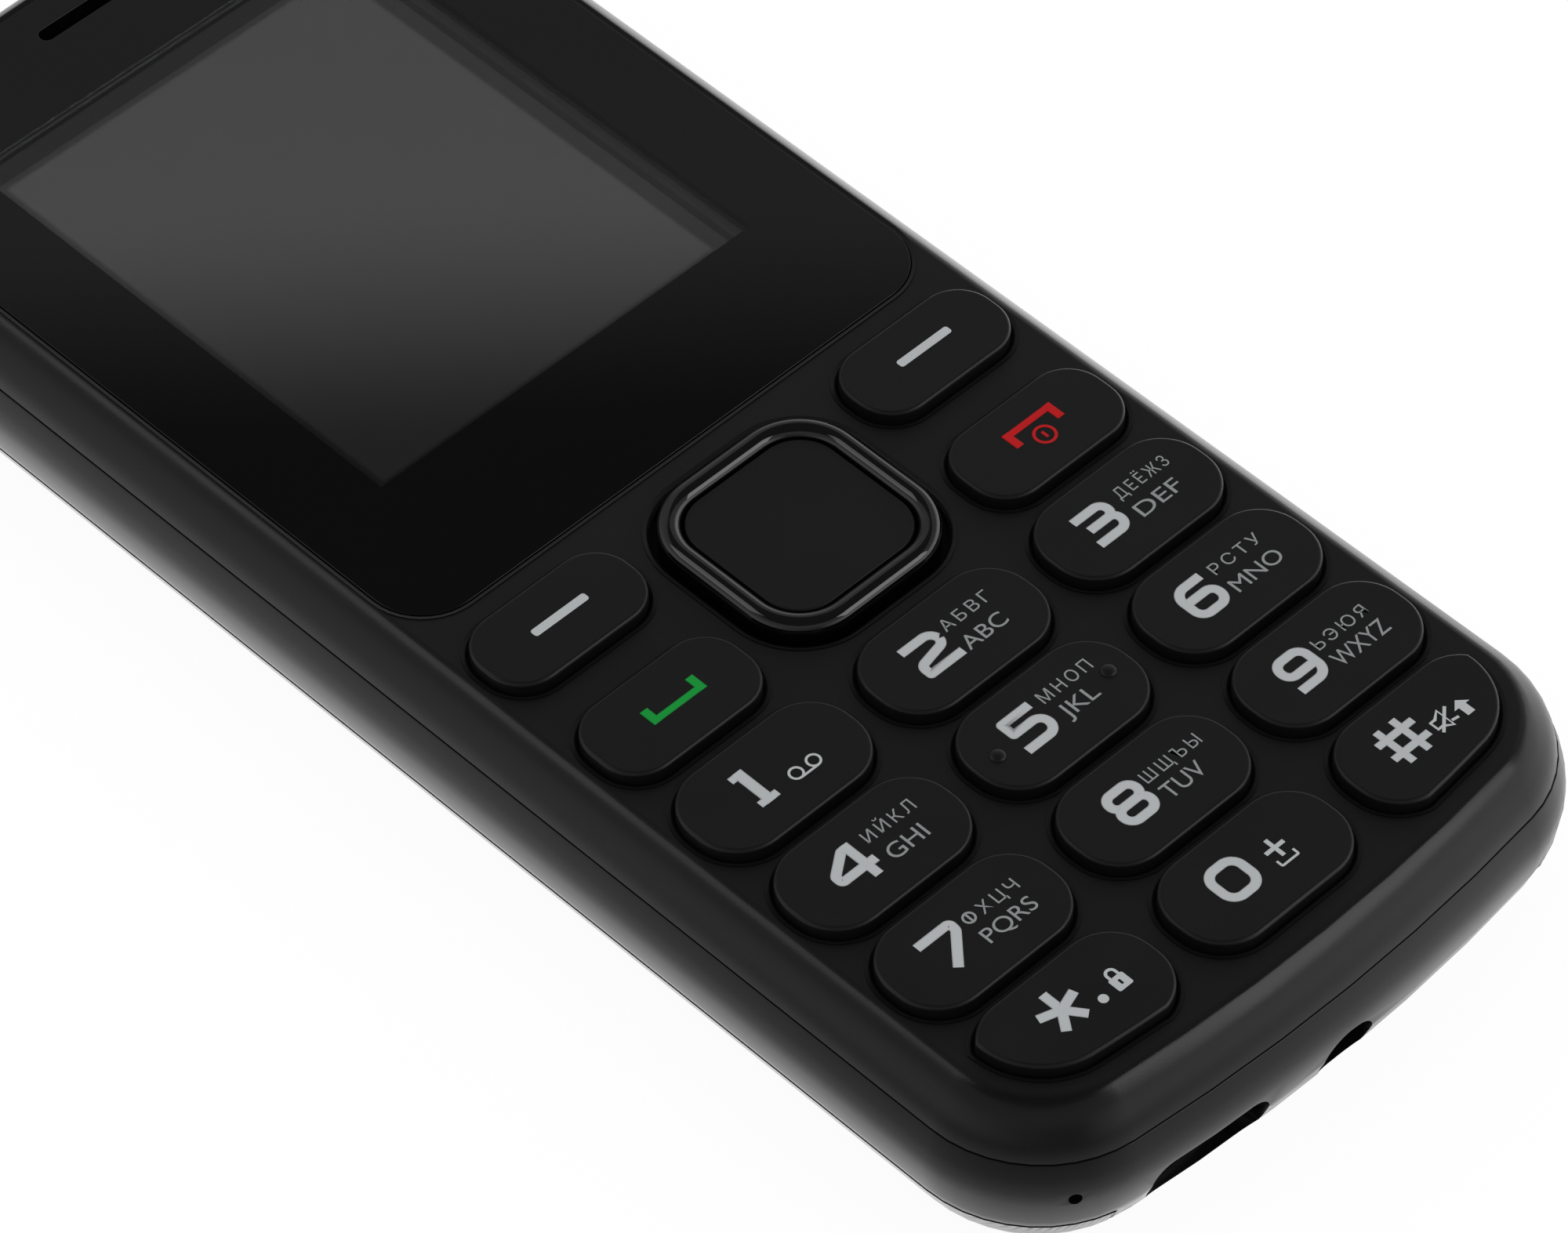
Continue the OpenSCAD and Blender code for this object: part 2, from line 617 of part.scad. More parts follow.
// Rocking base: a plate under the face with ridges for the ring, feet on the dome sheet and two plungers
module nav_base() color("#3a3b3d") translate([0, nav_y, 0]) {
    difference() {
        union() {
            slab(2 * base_half, 2 * base_half, nav_r, z_base, z_base_top);
            for (y = [-1, 1]) translate([0, y * (nav_half - ring_bar / 2), z_base_top]) rotate([90, 0, 0])
                cylinder(r = ridge_r, h = ring_bar * 0.8, center = true);
        }
        slab(base_hole, base_hole, 1, z_base - 1, z_base_top + 2);
        translate([0, 0, z_base - 2]) cube([4 * base_half, 4 * base_half, 4], center = true);
    }
    for (x = [-1, 1]) translate([x * foot_x, 0, 0]) {
        translate([-foot_r, -foot_r, z_foot]) cube([2 * foot_r, 2 * foot_r, z_base - z_foot + overlap]);
        translate([0, 0, z_foot]) rotate([0, 90, 0]) cylinder(r = foot_r, h = 2 * foot_r, center = true);
    }
    for (y = [-1, 1]) translate([0, y * (nav_half - ring_bar / 2), z_stem]) cylinder(r = 0.9, h = z_base - z_stem + overlap);
}

// OK key inside the ring: cap, neck through the base, and stem over its dome
module ok_key() color("#222324") translate([0, nav_y, 0]) {
    cap(ok_w, ok_w, ok_r, z_ok, body_t + ok_proud, ok_edge_r);
    slab(base_hole - 2 * neck_gap, base_hole - 2 * neck_gap, 1, z_base, z_ok + overlap);
    translate([0, 0, z_stem]) cylinder(r = stem_r, h = z_base - z_stem + overlap);
}

// Plan of the keypad area under the face plate
keypad_top = lens_y0 - 0.9;
module keypad_plan(inset) intersection() {
    polygon(casing(inset));
    translate([-half_w, -half_l]) square([body_w, half_l + keypad_top]);
}

// Silicone keypad mat: web with a hole round each stem, standing on its rim
mat_inset = wall_t + 0.5;
mat_rim = 0.8;
module keypad_mat() color("#55585b") difference() {
    translate([0, 0, z_domes]) linear_extrude(z_mat + mat_t - z_domes) keypad_plan(mat_inset);
    translate([0, 0, z_domes - 1]) linear_extrude(z_mat - z_domes + 1) intersection() {
        keypad_plan(mat_inset + mat_rim);
        translate([-half_w, -half_l]) square([body_w, half_l + keypad_top - mat_rim]);
    }
    for (k = KEYS) translate([k[1], k[2], z_mat - 1]) cylinder(r = stem_r + 0.5, h = mat_t + 2);
    translate([0, nav_y, z_domes - 1]) linear_extrude(z_mat + mat_t - z_domes + 2) square(mat_nav_w, center = true);
    at_bosses() boss_notch(z_domes - 1, z_mat + mat_t + 1);
}

// Room round a screw boss, open to the side wall
notch_gap = 0.3;
module boss_notch(z0, z1) {
    translate([0, 0, z0]) cylinder(r = boss_r + notch_gap, h = z1 - z0);
    translate([$boss_side > 0 ? 0 : -2 * boss_r, -boss_r - notch_gap, z0])
        cube([2 * boss_r, 2 * (boss_r + notch_gap), z1 - z0]);
}

// Dome sheet: film over the board with a snap dome under each key
module dome_sheet() color("#d8dadd") {
    difference() {
        translate([0, 0, z_board]) linear_extrude(dome_sheet_t) keypad_plan(mat_inset);
        at_bosses() boss_notch(z_board - 1, z_domes + 1);
    }
    for (k = KEYS) translate([k[1], k[2], 0]) snap_dome();
    translate([0, nav_y, 0]) {
        snap_dome();
        for (y = [-1, 1]) translate([0, y * (nav_half - ring_bar / 2), 0]) snap_dome();
    }
}

// One snap dome: a shallow cap
dome_sphere_r = (dome_r * dome_r + dome_h * dome_h) / (2 * dome_h);
module snap_dome() translate([0, 0, z_domes]) intersection() {
    translate([0, 0, dome_h - dome_sphere_r]) sphere(dome_sphere_r);
    translate([0, 0, -dome_sheet_t / 2]) cylinder(r = dome_r, h = 1);
}

// Main board, lying on the ledge of the rear housing
module main_board() color("#1f4a35") difference() {
    prism(casing(wall_t + board_gap), z_under, z_board);
    at_bosses() boss_notch(z_under - 1, z_board + 1);
}

// Shield can over the radio parts, under the main board
module shield_can() color("#b9bcc0") translate([0, can_y, 0]) difference() {
    slab(can_w, can_l, 1, z_box_top + can_gap, z_under);
    slab(can_w - 2 * can_t, can_l - 2 * can_t, 1 - can_t, z_box_top + can_gap + can_t, z_under + 1);
}

// Two SIM sockets in one frame under the main board, open to the battery pocket through the deck's windows
module sim_holder() color("#a9acb0") translate([0, sim_y, 0]) difference() {
    slab(2 * sim_x + sim_w, sim_l, 0.8, z_box_top + ease, z_under);
    for (x = [-1, 1]) translate([x * sim_x, 0, 0])
        slab(sim_w - 1.6, sim_l - 2.4, 0.6, z_box_top - 1, z_under - 0.3);
}

// Battery contacts: block on the main board with three fingers through the pocket's end wall
finger_w = 1.2;
finger_pitch = 2.8;
finger_z = z_pocket_top - 1.6;
contact_room = 0.2;
module battery_contacts() color("#26282b") {
    block([-contacts_w / 2, box_y1 + ease, finger_z - 1], [contacts_w / 2, box_y1 + contacts_l, z_under]);
    for (i = [-1:1]) block([i * finger_pitch - finger_w / 2, pocket_y1 - battery_gap + contact_room, finger_z - 0.4],
                           [i * finger_pitch + finger_w / 2, box_y1 + 0.5, finger_z + 0.4]);
}

// Camera module: square body on the main board, barrel through the deck
module camera_module() color("#1d1e20") translate([0, camera_y, 0]) {
    translate([-camera_w / 2, -camera_w / 2, z_deck_top + ease]) cube([camera_w, camera_w, z_under - z_deck_top - ease]);
    difference() {
        translate([0, 0, z_deck + ease]) cylinder(r = barrel_r, h = deck_t + overlap);
        translate([0, 0, z_deck - 1]) cylinder(r = barrel_r - 1, h = 1.4);
    }
}

// Clear camera window, set in the battery cover
module camera_window() color("#303338") translate([0, camera_y, cover_t - camera_window_t])
    cylinder(r = camera_window_r - ease, h = camera_window_t);

// Loudspeaker on the deck, over the sound slots
module loudspeaker() color("#2e2f31") translate([speaker_x, speaker_y, 0]) {
    translate([0, 0, z_deck_top]) difference() {
        cylinder(r = speaker_r, h = speaker_t);
        translate([0, 0, -1]) cylinder(r = speaker_r - 1, h = 1.5);
    }
}

// Vibration motor: can with a shaft towards the top end, lying in a cradle on the deck
module vibration_motor() color("#9fa3a8") translate([motor_x, motor_y, motor_z]) rotate([-90, 0, 0]) {
    cylinder(r = motor_r, h = motor_l);
    cylinder(r = shaft_r, h = motor_l + shaft_l);
}

// Eccentric weight on the motor's shaft
weight_y = motor_y + motor_l + 0.4;
module motor_weight() color("#6f7276") translate([motor_x, weight_y, motor_z]) rotate([-90, 0, 0]) difference() {
    union() {
        cylinder(r = shaft_r + 0.5, h = weight_l);
        intersection() {
            cylinder(r = weight_r, h = weight_l);
            translate([-weight_r, 0, 0]) cube([2 * weight_r, weight_r, weight_l]);
        }
    }
    translate([0, 0, -1]) cylinder(r = shaft_r + shaft_gap, h = weight_l + 2);
}

// Port board on the port block, beside the jack
module port_board() color("#1f4a35")
    block([block_x0 + port_board_in, -half_l + port_board_end, z_port_board],
          [jack_x - jack_body_w / 2 - port_gap, pocket_y0 - deck_t - port_gap, z_port_board + port_board_t]);

// Micro-USB connector: metal shell with two chamfered corners and a tongue, under the port board
module usb_connector() color("#b4b7bb") translate([usb_x, port_wall_y + usb_back, port_z]) {
    translate([0, usb_l, 0]) rotate([90, 0, 0]) difference() {
        linear_extrude(usb_l) usb_section(0);
        translate([0, 0, usb_wall]) linear_extrude(usb_l) usb_section(usb_wall);
    }
    translate([-usb_tongue_w / 2, usb_tongue_back, usb_wall / 2])
        cube([usb_tongue_w, usb_l - usb_tongue_back - usb_wall / 2, usb_tongue_t]);
}

// Section of the micro-USB shell, drawn in by its wall
module usb_section(inset) {
    x = usb_w / 2 - inset;
    z = usb_t / 2 - inset;
    polygon([[-x, z], [-x, usb_chamfer - z], [usb_chamfer - x, -z], [x - usb_chamfer, -z], [x, usb_chamfer - z], [x, z]]);
}

// Headphone jack: square body with a blind bore behind the hole in the end wall
module audio_jack() color("#131415") translate([jack_x, jack_y0, port_z]) difference() {
    translate([-jack_body_w / 2, 0, -jack_half]) cube([jack_body_w, jack_l, 2 * jack_half]);
    translate([0, jack_bore_l, 0]) rotate([90, 0, 0]) cylinder(r = jack_bore_r, h = jack_bore_l + 1);
}

// Microphone capsule behind the hole in the lower left corner
mic_reach = corner_r - wall_t - ledge_w - 0.25 - mic_t;
module microphone() color("#7d8084") at_mic() translate([mic_reach, 0, 0]) rotate([0, 90, 0]) cylinder(r = mic_r, h = mic_t);

// Axis of the microphone hole, along local X out of the corner
module at_mic() translate([-corner_x, -corner_y, mic_z]) rotate(mic_a) children();

// Flat flex from the port board up to the main board
flex_w = 7;
flex_t = 0.2;
flex_foot = 2;
flex_y = block_y1 - 2.6;
module port_flex() color("#b8772e") translate([usb_x + 1, flex_y, 0]) {
    z0 = z_port_board + port_board_t;
    block([-flex_w / 2, 0, z0], [flex_w / 2, flex_t, z_under]);
    block([-flex_w / 2, -flex_foot, z0], [flex_w / 2, flex_t, z0 + flex_t]);
    block([-flex_w / 2, 0, z_under - flex_t], [flex_w / 2, flex_foot, z_under]);
}

// Plan of the port chin that the battery cover leaves free
module chin_plan(grow) translate([0, -half_l - 10 + (chin_l + 10) / 2])
    round_rect(chin_w + 2 * grow, chin_l + 10 + 2 * grow, 1.5 + grow);

// Rear housing: side walls below the seam, a waist that the cover wraps, ledge for the board, stepped deck with the
// battery pocket, and the port block
module rear_housing() color("#333333") {
    z_top = z_seam - seam_gap;
    waist = [for (i = [0:edge_steps]) let (z = z_deck - 0.2 + (cover_h + cover_gap + 0.7 - z_deck) * i / edge_steps)
        [side_inset(z, cover_t + cover_gap), z]];
    levels = concat([for (i = [0:edge_steps]) let (z = z_wide * (1 - cos(90 * i / edge_steps))) [side_inset(z), z]],
                    [for (i = [1:side_steps]) let (z = z_wide + (z_top - z_wide) * i / side_steps) [side_inset(z), z]]);
    difference() {
        union() {
            difference() {
                loft(levels);
                difference() {
                    translate([0, 0, -1]) linear_extrude(cover_h + cover_gap + 1) difference() {
                        square(2 * body_l, center = true);
                        chin_plan(0);
                    }
                    loft(waist);
                }
                translate([0, 0, -1]) linear_extrude(z_deck + 1) difference() {
                    polygon(casing(wall_t));
                    chin_plan(0);
                }
                prism(casing(wall_t), z_under, z_top + 1);
                difference() {
                    prism(casing(wall_t + ledge_w), z_deck_top, z_top);
                    block([-box_w / 2, pocket_y0 - deck_t, 0], [box_w / 2, box_y1, z_box_top]);
                    block([block_x0, -half_l, 0], [block_x1, block_y1, z_port_board]);
                }
                block([-pocket_w / 2, pocket_y0, -1], [pocket_w / 2, pocket_y1, z_pocket_top]);
            }
            block([block_x0, -half_l + chin_l - overlap, z_block], [block_x1, block_y1, z_deck + overlap]);
            at_motor() translate([0, 0, (z_deck_top + motor_z - 0.4) / 2])
                cube([2 * motor_r + 1.6, motor_l - 2, motor_z - 0.4 - z_deck_top + 2 * overlap], center = true);
        }
        usb_room();
        jack_room();
        at_mic() rotate([0, 90, 0]) cylinder(r = mic_hole_r, h = corner_r + 5);
        translate([0, 0, -1]) at_bosses() cylinder(r = screw_r + 0.15, h = z_deck_top + 2);
        for (x = [-1, 1]) translate([x * sim_x, sim_y, 0]) slab(sim_w - 1.6, sim_l - 2.4, 0.6, z_pocket_top - 1, z_box_top + 1);
        block([-contacts_w / 2 + 0.4, pocket_y1 - 1, finger_z - 0.8], [contacts_w / 2 - 0.4, box_y1 + 1, finger_z + 0.8]);
        translate([0, camera_y, z_deck - 1]) cylinder(r = barrel_r + 0.3, h = deck_t + 2);
        at_speaker_slots() slab(slot_w, $slot_l, slot_w / 2 - 0.01, z_deck - 1, z_deck_top + 1);
        at_motor() translate([0, 0, motor_z]) rotate([90, 0, 0]) cylinder(r = motor_r + ease, h = motor_l + 2, center = true);
        tab_rooms();
    }
}

// Room for the micro-USB connector in the port block, and its cut-out in the end wall
module usb_room() {
    block([usb_x - usb_w / 2 - port_gap, port_wall_y, port_z - usb_t / 2 - port_gap],
          [usb_x + usb_w / 2 + port_gap, port_wall_y + usb_l + 0.4, z_port_board + 1]);
    translate([usb_x, port_wall_y + 1, port_z]) rotate([90, 0, 0]) linear_extrude(10)
        round_rect(usb_mouth_w, usb_mouth_h, 1.6);
}

// Room for the headphone jack in the port block, and its round hole in the end wall
module jack_room() {
    block([jack_x - jack_body_w / 2 - port_gap, jack_wall_y, port_z - jack_half - port_gap],
          [jack_x + jack_body_w / 2 + port_gap, jack_y0 + jack_l + port_gap, z_under]);
    translate([jack_x, jack_wall_y + 1, port_z]) rotate([90, 0, 0]) cylinder(r = jack_mouth_r, h = 10);
}

// Middle of the vibration motor's can
module at_motor() translate([motor_x, motor_y + motor_l / 2, 0]) children();

// Sound slots under the loudspeaker, shorter towards the edge
module at_speaker_slots() for (i = [0:slot_count - 1]) translate([speaker_x, speaker_y, 0]) {
    x = (i - (slot_count - 1) / 2) * slot_pitch;
    $slot_l = 2 * sqrt(pow(speaker_r - 2, 2) - x * x);
    translate([x, 0, 0]) children();
}

// Antenna carrier on the deck at the top end
module antenna_carrier() color("#3b3d40")
    block([carrier_x0, carrier_y0, z_deck_top], [carrier_x0 + carrier_w, carrier_y0 + carrier_l, z_deck_top + carrier_t]);

// Antenna: folded strip on its carrier
antenna_bar = 1.8;
module antenna() color("#c08a4a") {
    z0 = z_deck_top + carrier_t;
    block([carrier_x0, carrier_y0 + 1, z0], [carrier_x0 + antenna_bar, carrier_y0 + carrier_l, z0 + antenna_t]);
    block([carrier_x0, carrier_y0 + carrier_l - antenna_bar, z0],
          [carrier_x0 + carrier_w, carrier_y0 + carrier_l, z0 + antenna_t]);
    block([carrier_x0 + carrier_w - antenna_bar, carrier_y0 + 4, z0],
          [carrier_x0 + carrier_w, carrier_y0 + carrier_l, z0 + antenna_t]);
}

// Battery: flat pack with three contact pads let into its upper end
pad_depth = 0.15;
module battery() color("#3c3f44") difference() {
    translate([0, pocket_y, 0]) slab(battery_w, battery_l, 2, z_battery, z_battery + battery_t);
    for (i = [-1:1]) block([i * finger_pitch - 1, pocket_y1 - battery_gap - pad_depth, finger_z - 1],
                           [i * finger_pitch + 1, pocket_y1, finger_z + 0.9]);
}

// Battery cover: shallow pan with a rolled edge, sound slots, a camera window seat and guide tabs
tab_t = 0.7;
tab_l = 6;
tab_z0 = 2;
tab_z1 = 4.6;
tab_gap = 0.12;
tab_pitch = 30;
TABS = [-tab_pitch, 0, tab_pitch];
tab_x = half_w - 2.85;
module battery_cover() color("#2b2b2b") {
    outer = [for (i = [0:edge_steps]) let (z = cover_h * pow(i / edge_steps, 2)) [side_inset(z), z]];
    inner = [for (i = [0:edge_steps]) let (z = cover_t + (cover_h + 0.5 - cover_t) * pow(i / edge_steps, 2))
        [side_inset(z, cover_t), z]];
    difference() {
        union() {
            difference() {
                loft(outer);
                loft(inner);
            }
            for (y = TABS, side = [-1, 1]) cover_tab(side, y);
        }
        translate([0, 0, -1]) linear_extrude(cover_h + 5) chin_plan(cover_gap);
        translate([0, camera_y, cover_t - camera_window_t]) cylinder(r = camera_window_r, h = cover_t);
        translate([0, camera_y, -1]) cylinder(r = camera_window_r - 1, h = cover_t + 2);
        at_speaker_slots() slab(slot_w, $slot_l, slot_w / 2 - 0.01, -1, cover_t + 1);
    }
}

// Guide tab of the cover, standing up through the rear housing's deck
module cover_tab(side, y) translate([side * tab_x, y, (tab_z0 + tab_z1) / 2])
    cube([tab_t, tab_l, tab_z1 - tab_z0], center = true);

// Room for the guide tabs in the rear housing's deck and ledge, open to the inside
module tab_rooms() {
    x0 = tab_x - tab_t / 2 - ledge_w;
    x1 = tab_x + tab_t / 2 + tab_gap;
    for (y = TABS, side = [-1, 1]) translate([side * (x0 + x1) / 2, y, (tab_z0 + tab_z1 + tab_gap) / 2])
        cube([x1 - x0, tab_l + 2 * tab_gap, tab_z1 + tab_gap - tab_z0], center = true);
}

// Housing screws: head under the deck, shank through the deck into the front housing's boss
module housing_screws() color("#8f9296") at_bosses() translate([0, 0, z_deck]) {
    difference() {
        translate([0, 0, -screw_head_h]) cylinder(r = screw_head_r, h = screw_head_h);
        for (a = [0, 90]) rotate(a) translate([0, 0, -screw_head_h]) cube([1.6, 0.35, 0.9], center = true);
    }
    cylinder(r = screw_r, h = screw_l - deck_t);
}

front_housing();
display_lens();
lens_adhesive();
lcd_panel();
lcd_frame();
earpiece_mesh();
earpiece_receiver();
for (k = KEYS) key_cap(k);
nav_ring();
nav_base();
ok_key();
keypad_mat();
dome_sheet();
main_board();
shield_can();
sim_holder();
battery_contacts();
camera_module();
camera_window();
loudspeaker();
vibration_motor();
motor_weight();
port_board();
usb_connector();
audio_jack();
microphone();
port_flex();
rear_housing();
antenna_carrier();
antenna();
battery();
battery_cover();
housing_screws();
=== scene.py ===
import math
import bmesh
import bpy
from mathutils import Matrix, Vector


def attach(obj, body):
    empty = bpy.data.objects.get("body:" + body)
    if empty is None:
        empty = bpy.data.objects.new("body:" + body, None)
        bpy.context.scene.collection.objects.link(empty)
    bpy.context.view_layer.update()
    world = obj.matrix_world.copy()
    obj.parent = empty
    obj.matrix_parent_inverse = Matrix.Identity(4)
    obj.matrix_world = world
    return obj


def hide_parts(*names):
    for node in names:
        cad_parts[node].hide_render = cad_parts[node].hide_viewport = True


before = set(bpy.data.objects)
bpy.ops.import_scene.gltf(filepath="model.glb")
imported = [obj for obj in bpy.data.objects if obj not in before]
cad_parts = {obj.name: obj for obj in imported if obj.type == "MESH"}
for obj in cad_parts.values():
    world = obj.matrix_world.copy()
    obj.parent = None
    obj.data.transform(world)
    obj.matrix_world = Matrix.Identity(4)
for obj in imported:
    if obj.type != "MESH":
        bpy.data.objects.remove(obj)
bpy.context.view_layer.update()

# Front housing: face plate and bezel band, one black injection moulding with a fine satin grain.
# The copy of its CAD solid is merged and shaded smooth, and the rims that catch the light are eased.
# Lengths here and below are in millimetres, and angles in degrees.
MM = 0.001
WELD = 0.002
LEVEL = 0.01
FLAT_TURN = 0.4
SHELL_CREASE = 20
SHARP_RIM = (35, 180)
BLUNT_RIM = (25, 35)
RIM_EASE = 0.05
CREASE_EASE = 0.28
FACE_Z = 14.5
SEAM_Z = 11.05
FACE_BLACK = (0.0034, 0.0034, 0.0035)
FACE_ROUGH = 0.42
BEZEL_ROUGH = 0.22
FINISH_TURN = (FACE_Z - 0.1, FACE_Z - 0.02)
GRAIN_DETAIL = 2
CLOUD_SCALE = 180
CLOUD_DETAIL = 4
GRAIN_STRENGTH = 0.5


def moulded_copy(node, name, crease, rims=(), lifted=None):
    bm = bmesh.new()
    bm.from_mesh(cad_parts[node].data)
    bmesh.ops.remove_doubles(bm, verts=bm.verts, dist=WELD * MM)
    bmesh.ops.dissolve_limit(bm, angle_limit=math.radians(FLAT_TURN), verts=bm.verts, edges=bm.edges)
    if lifted:
        for v in bm.verts:
            if abs(v.co.z - lifted[0] * MM) < LEVEL * MM:
                v.co.z = lifted[1] * MM
    for z, (least, most), ease in rims:
        rim = [e for e in bm.edges if math.radians(least) < e.calc_face_angle(0) < math.radians(most)
               and all(abs(v.co.z - z * MM) < LEVEL * MM for v in e.verts)]
        bmesh.ops.bevel(bm, geom=rim, offset=ease * MM, offset_type="OFFSET", segments=3, profile=0.5,
                        affect="EDGES", material=-1)
    for edge in bm.edges:
        edge.smooth = edge.calc_face_angle(0) < math.radians(crease)
    return smooth_piece(bm, name)


def smooth_piece(bm, name):
    for face in bm.faces:
        face.smooth = True
    piece = in_scene(name, mesh_from(bm, name))
    weighted = piece.modifiers.new("flat faces lead", "WEIGHTED_NORMAL")
    weighted.keep_sharp = True
    return piece


def mesh_from(bm, name):
    mesh = bpy.data.meshes.new(name)
    bm.to_mesh(mesh)
    bm.free()
    return mesh


def in_scene(name, data):
    thing = bpy.data.objects.new(name, data)
    bpy.context.scene.collection.objects.link(thing)
    return thing


def shading_step(tree, kind, fed=None, **settings):
    step = tree.nodes.new("ShaderNode" + kind)
    for name, value in settings.items():
        setattr(step, name, value)
    for socket, value in (fed or {}).items():
        if isinstance(value, bpy.types.NodeSocket):
            tree.links.new(value, step.inputs[socket])
        else:
            step.inputs[socket].default_value = value
    return step


def number_step(tree, operation, *terms):
    return shading_step(tree, "Math", dict(enumerate(terms)), operation=operation).outputs[0]


def ramp_step(tree, value, low, high, start=0, stop=1):
    return shading_step(tree, "MapRange", {"Value": value, "From Min": low, "From Max": high,
                                           "To Min": start, "To Max": stop}).outputs[0]


def moulded_surface_group():
    group = bpy.data.node_groups.new("moulded_surface", "ShaderNodeTree")
    group.interface.new_socket("Colour", in_out="INPUT", socket_type="NodeSocketColor")
    for name in ("Mottle", "Roughness", "Spread", "Grain"):
        group.interface.new_socket(name, in_out="INPUT", socket_type="NodeSocketFloat")
    group.interface.new_socket("Colour", in_out="OUTPUT", socket_type="NodeSocketColor")
    for name in ("Roughness", "Height"):
        group.interface.new_socket(name, in_out="OUTPUT", socket_type="NodeSocketFloat")
    given = group.nodes.new("NodeGroupInput").outputs
    out = group.nodes.new("NodeGroupOutput").inputs
    spot = shading_step(group, "TexCoord").outputs["Object"]
    grain = shading_step(group, "TexNoise", {"Vector": spot, "Scale": given["Grain"], "Detail": GRAIN_DETAIL})
    cloud = shading_step(group, "TexNoise", {"Vector": spot, "Scale": CLOUD_SCALE, "Detail": CLOUD_DETAIL})
    centred = number_step(group, "SUBTRACT", cloud.outputs["Fac"], 0.5)
    swing = number_step(group, "MULTIPLY_ADD", centred, given["Mottle"], 1)
    tint = shading_step(group, "VectorMath", {0: given["Colour"], "Scale": swing}, operation="SCALE")
    rough = number_step(group, "MULTIPLY_ADD", centred, given["Spread"], given["Roughness"])
    group.links.new(tint.outputs["Vector"], out["Colour"])
    group.links.new(rough, out["Roughness"])
    group.links.new(grain.outputs["Fac"], out["Height"])
    return group


moulded_surface = moulded_surface_group()


def surface(name, colour, roughness, mottle=0.2, spread=0.1, grain=6000, depth=0.02, metallic=0,
            specular=0.5):
    material = bpy.data.materials.new(name)
    material.use_nodes = True
    tree = material.node_tree
    shader = tree.nodes["Principled BSDF"].inputs
    shader["Metallic"].default_value = metallic
    shader["Specular IOR Level"].default_value = specular
    shader["Roughness"].default_value = roughness
    skin = shading_step(tree, "Group", {"Colour": (*colour, 1), "Mottle": mottle, "Roughness": roughness,
                                        "Spread": spread, "Grain": grain}, node_tree=moulded_surface)
    tree.links.new(skin.outputs["Colour"], shader["Base Color"])
    if spread:
        tree.links.new(skin.outputs["Roughness"], shader["Roughness"])
    if depth:
        bump = shading_step(tree, "Bump", {"Strength": GRAIN_STRENGTH, "Distance": depth * MM,
                                           "Height": skin.outputs["Height"]})
        tree.links.new(bump.outputs["Normal"], shader["Normal"])
    return material


satin_black = surface("satin_black_face", FACE_BLACK, FACE_ROUGH, grain=7000, depth=0.008)
face_tree = satin_black.node_tree
face_spot = shading_step(face_tree, "TexCoord").outputs["Object"]
face_height = shading_step(face_tree, "SeparateXYZ", {0: face_spot}).outputs["Z"]
face_finish = ramp_step(face_tree, face_height, FINISH_TURN[0] * MM, FINISH_TURN[1] * MM,
                        BEZEL_ROUGH, FACE_ROUGH)
face_tree.links.new(face_finish, face_tree.nodes["Group"].inputs["Roughness"])
front_shell = moulded_copy("front_housing", "front_shell", SHELL_CREASE,
                           rims=((FACE_Z, SHARP_RIM, RIM_EASE), (FACE_Z, BLUNT_RIM, CREASE_EASE),
                                 (SEAM_Z, SHARP_RIM, RIM_EASE)))
front_shell.data.materials.append(satin_black)
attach(front_shell, "phone")
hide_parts("front_housing")

# LCD module: glass panel with a grey active area inside a darker border, in a pressed steel tray.
# The panel is switched off, so it works as a dull grey mirror behind the lens.
LCD_MID = (-0.25, 26.85)
LCD_ACTIVE = (28.03, 35.04)
LCD_SOFT = 0.15
LCD_GREY = (0.185, 0.185, 0.187, 1)
LCD_BORDER = (0.060, 0.060, 0.061, 1)
LCD_ROUGH = 0.05


def coat(finish, *nodes):
    for node in nodes:
        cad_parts[node].material_slots[0].material = finish


lcd_face = bpy.data.materials.new("switched_off_screen")
lcd_face.use_nodes = True
lcd_tree = lcd_face.node_tree
lcd_shader = lcd_tree.nodes["Principled BSDF"].inputs
lcd_shader["Metallic"].default_value = 1
lcd_shader["Roughness"].default_value = LCD_ROUGH
lcd_spot = shading_step(lcd_tree, "TexCoord").outputs["Object"]
lcd_across = shading_step(lcd_tree, "SeparateXYZ", {0: lcd_spot})
lcd_inside = []
for axis in (0, 1):
    off = number_step(lcd_tree, "SUBTRACT", lcd_across.outputs[axis], LCD_MID[axis] * MM)
    reach = number_step(lcd_tree, "ABSOLUTE", off)
    half = LCD_ACTIVE[axis] / 2
    lcd_inside.append(ramp_step(lcd_tree, reach, (half - LCD_SOFT) * MM, (half + LCD_SOFT) * MM, 1, 0))
lcd_mask = number_step(lcd_tree, "MULTIPLY", *lcd_inside)
lcd_tone = shading_step(lcd_tree, "Mix", {"Factor": lcd_mask, "A": LCD_BORDER, "B": LCD_GREY},
                        data_type="RGBA")
lcd_tree.links.new(lcd_tone.outputs["Result"], lcd_shader["Base Color"])
coat(lcd_face, "lcd_panel")
pressed_steel = surface("pressed_steel", (0.55, 0.56, 0.58), roughness=0.32, mottle=0.1, grain=3000,
                        depth=0.004, metallic=1)
coat(pressed_steel, "lcd_frame", "earpiece_receiver", "shield_can", "sim_holder", "vibration_motor",
     "microphone", "usb_connector", "housing_screws")

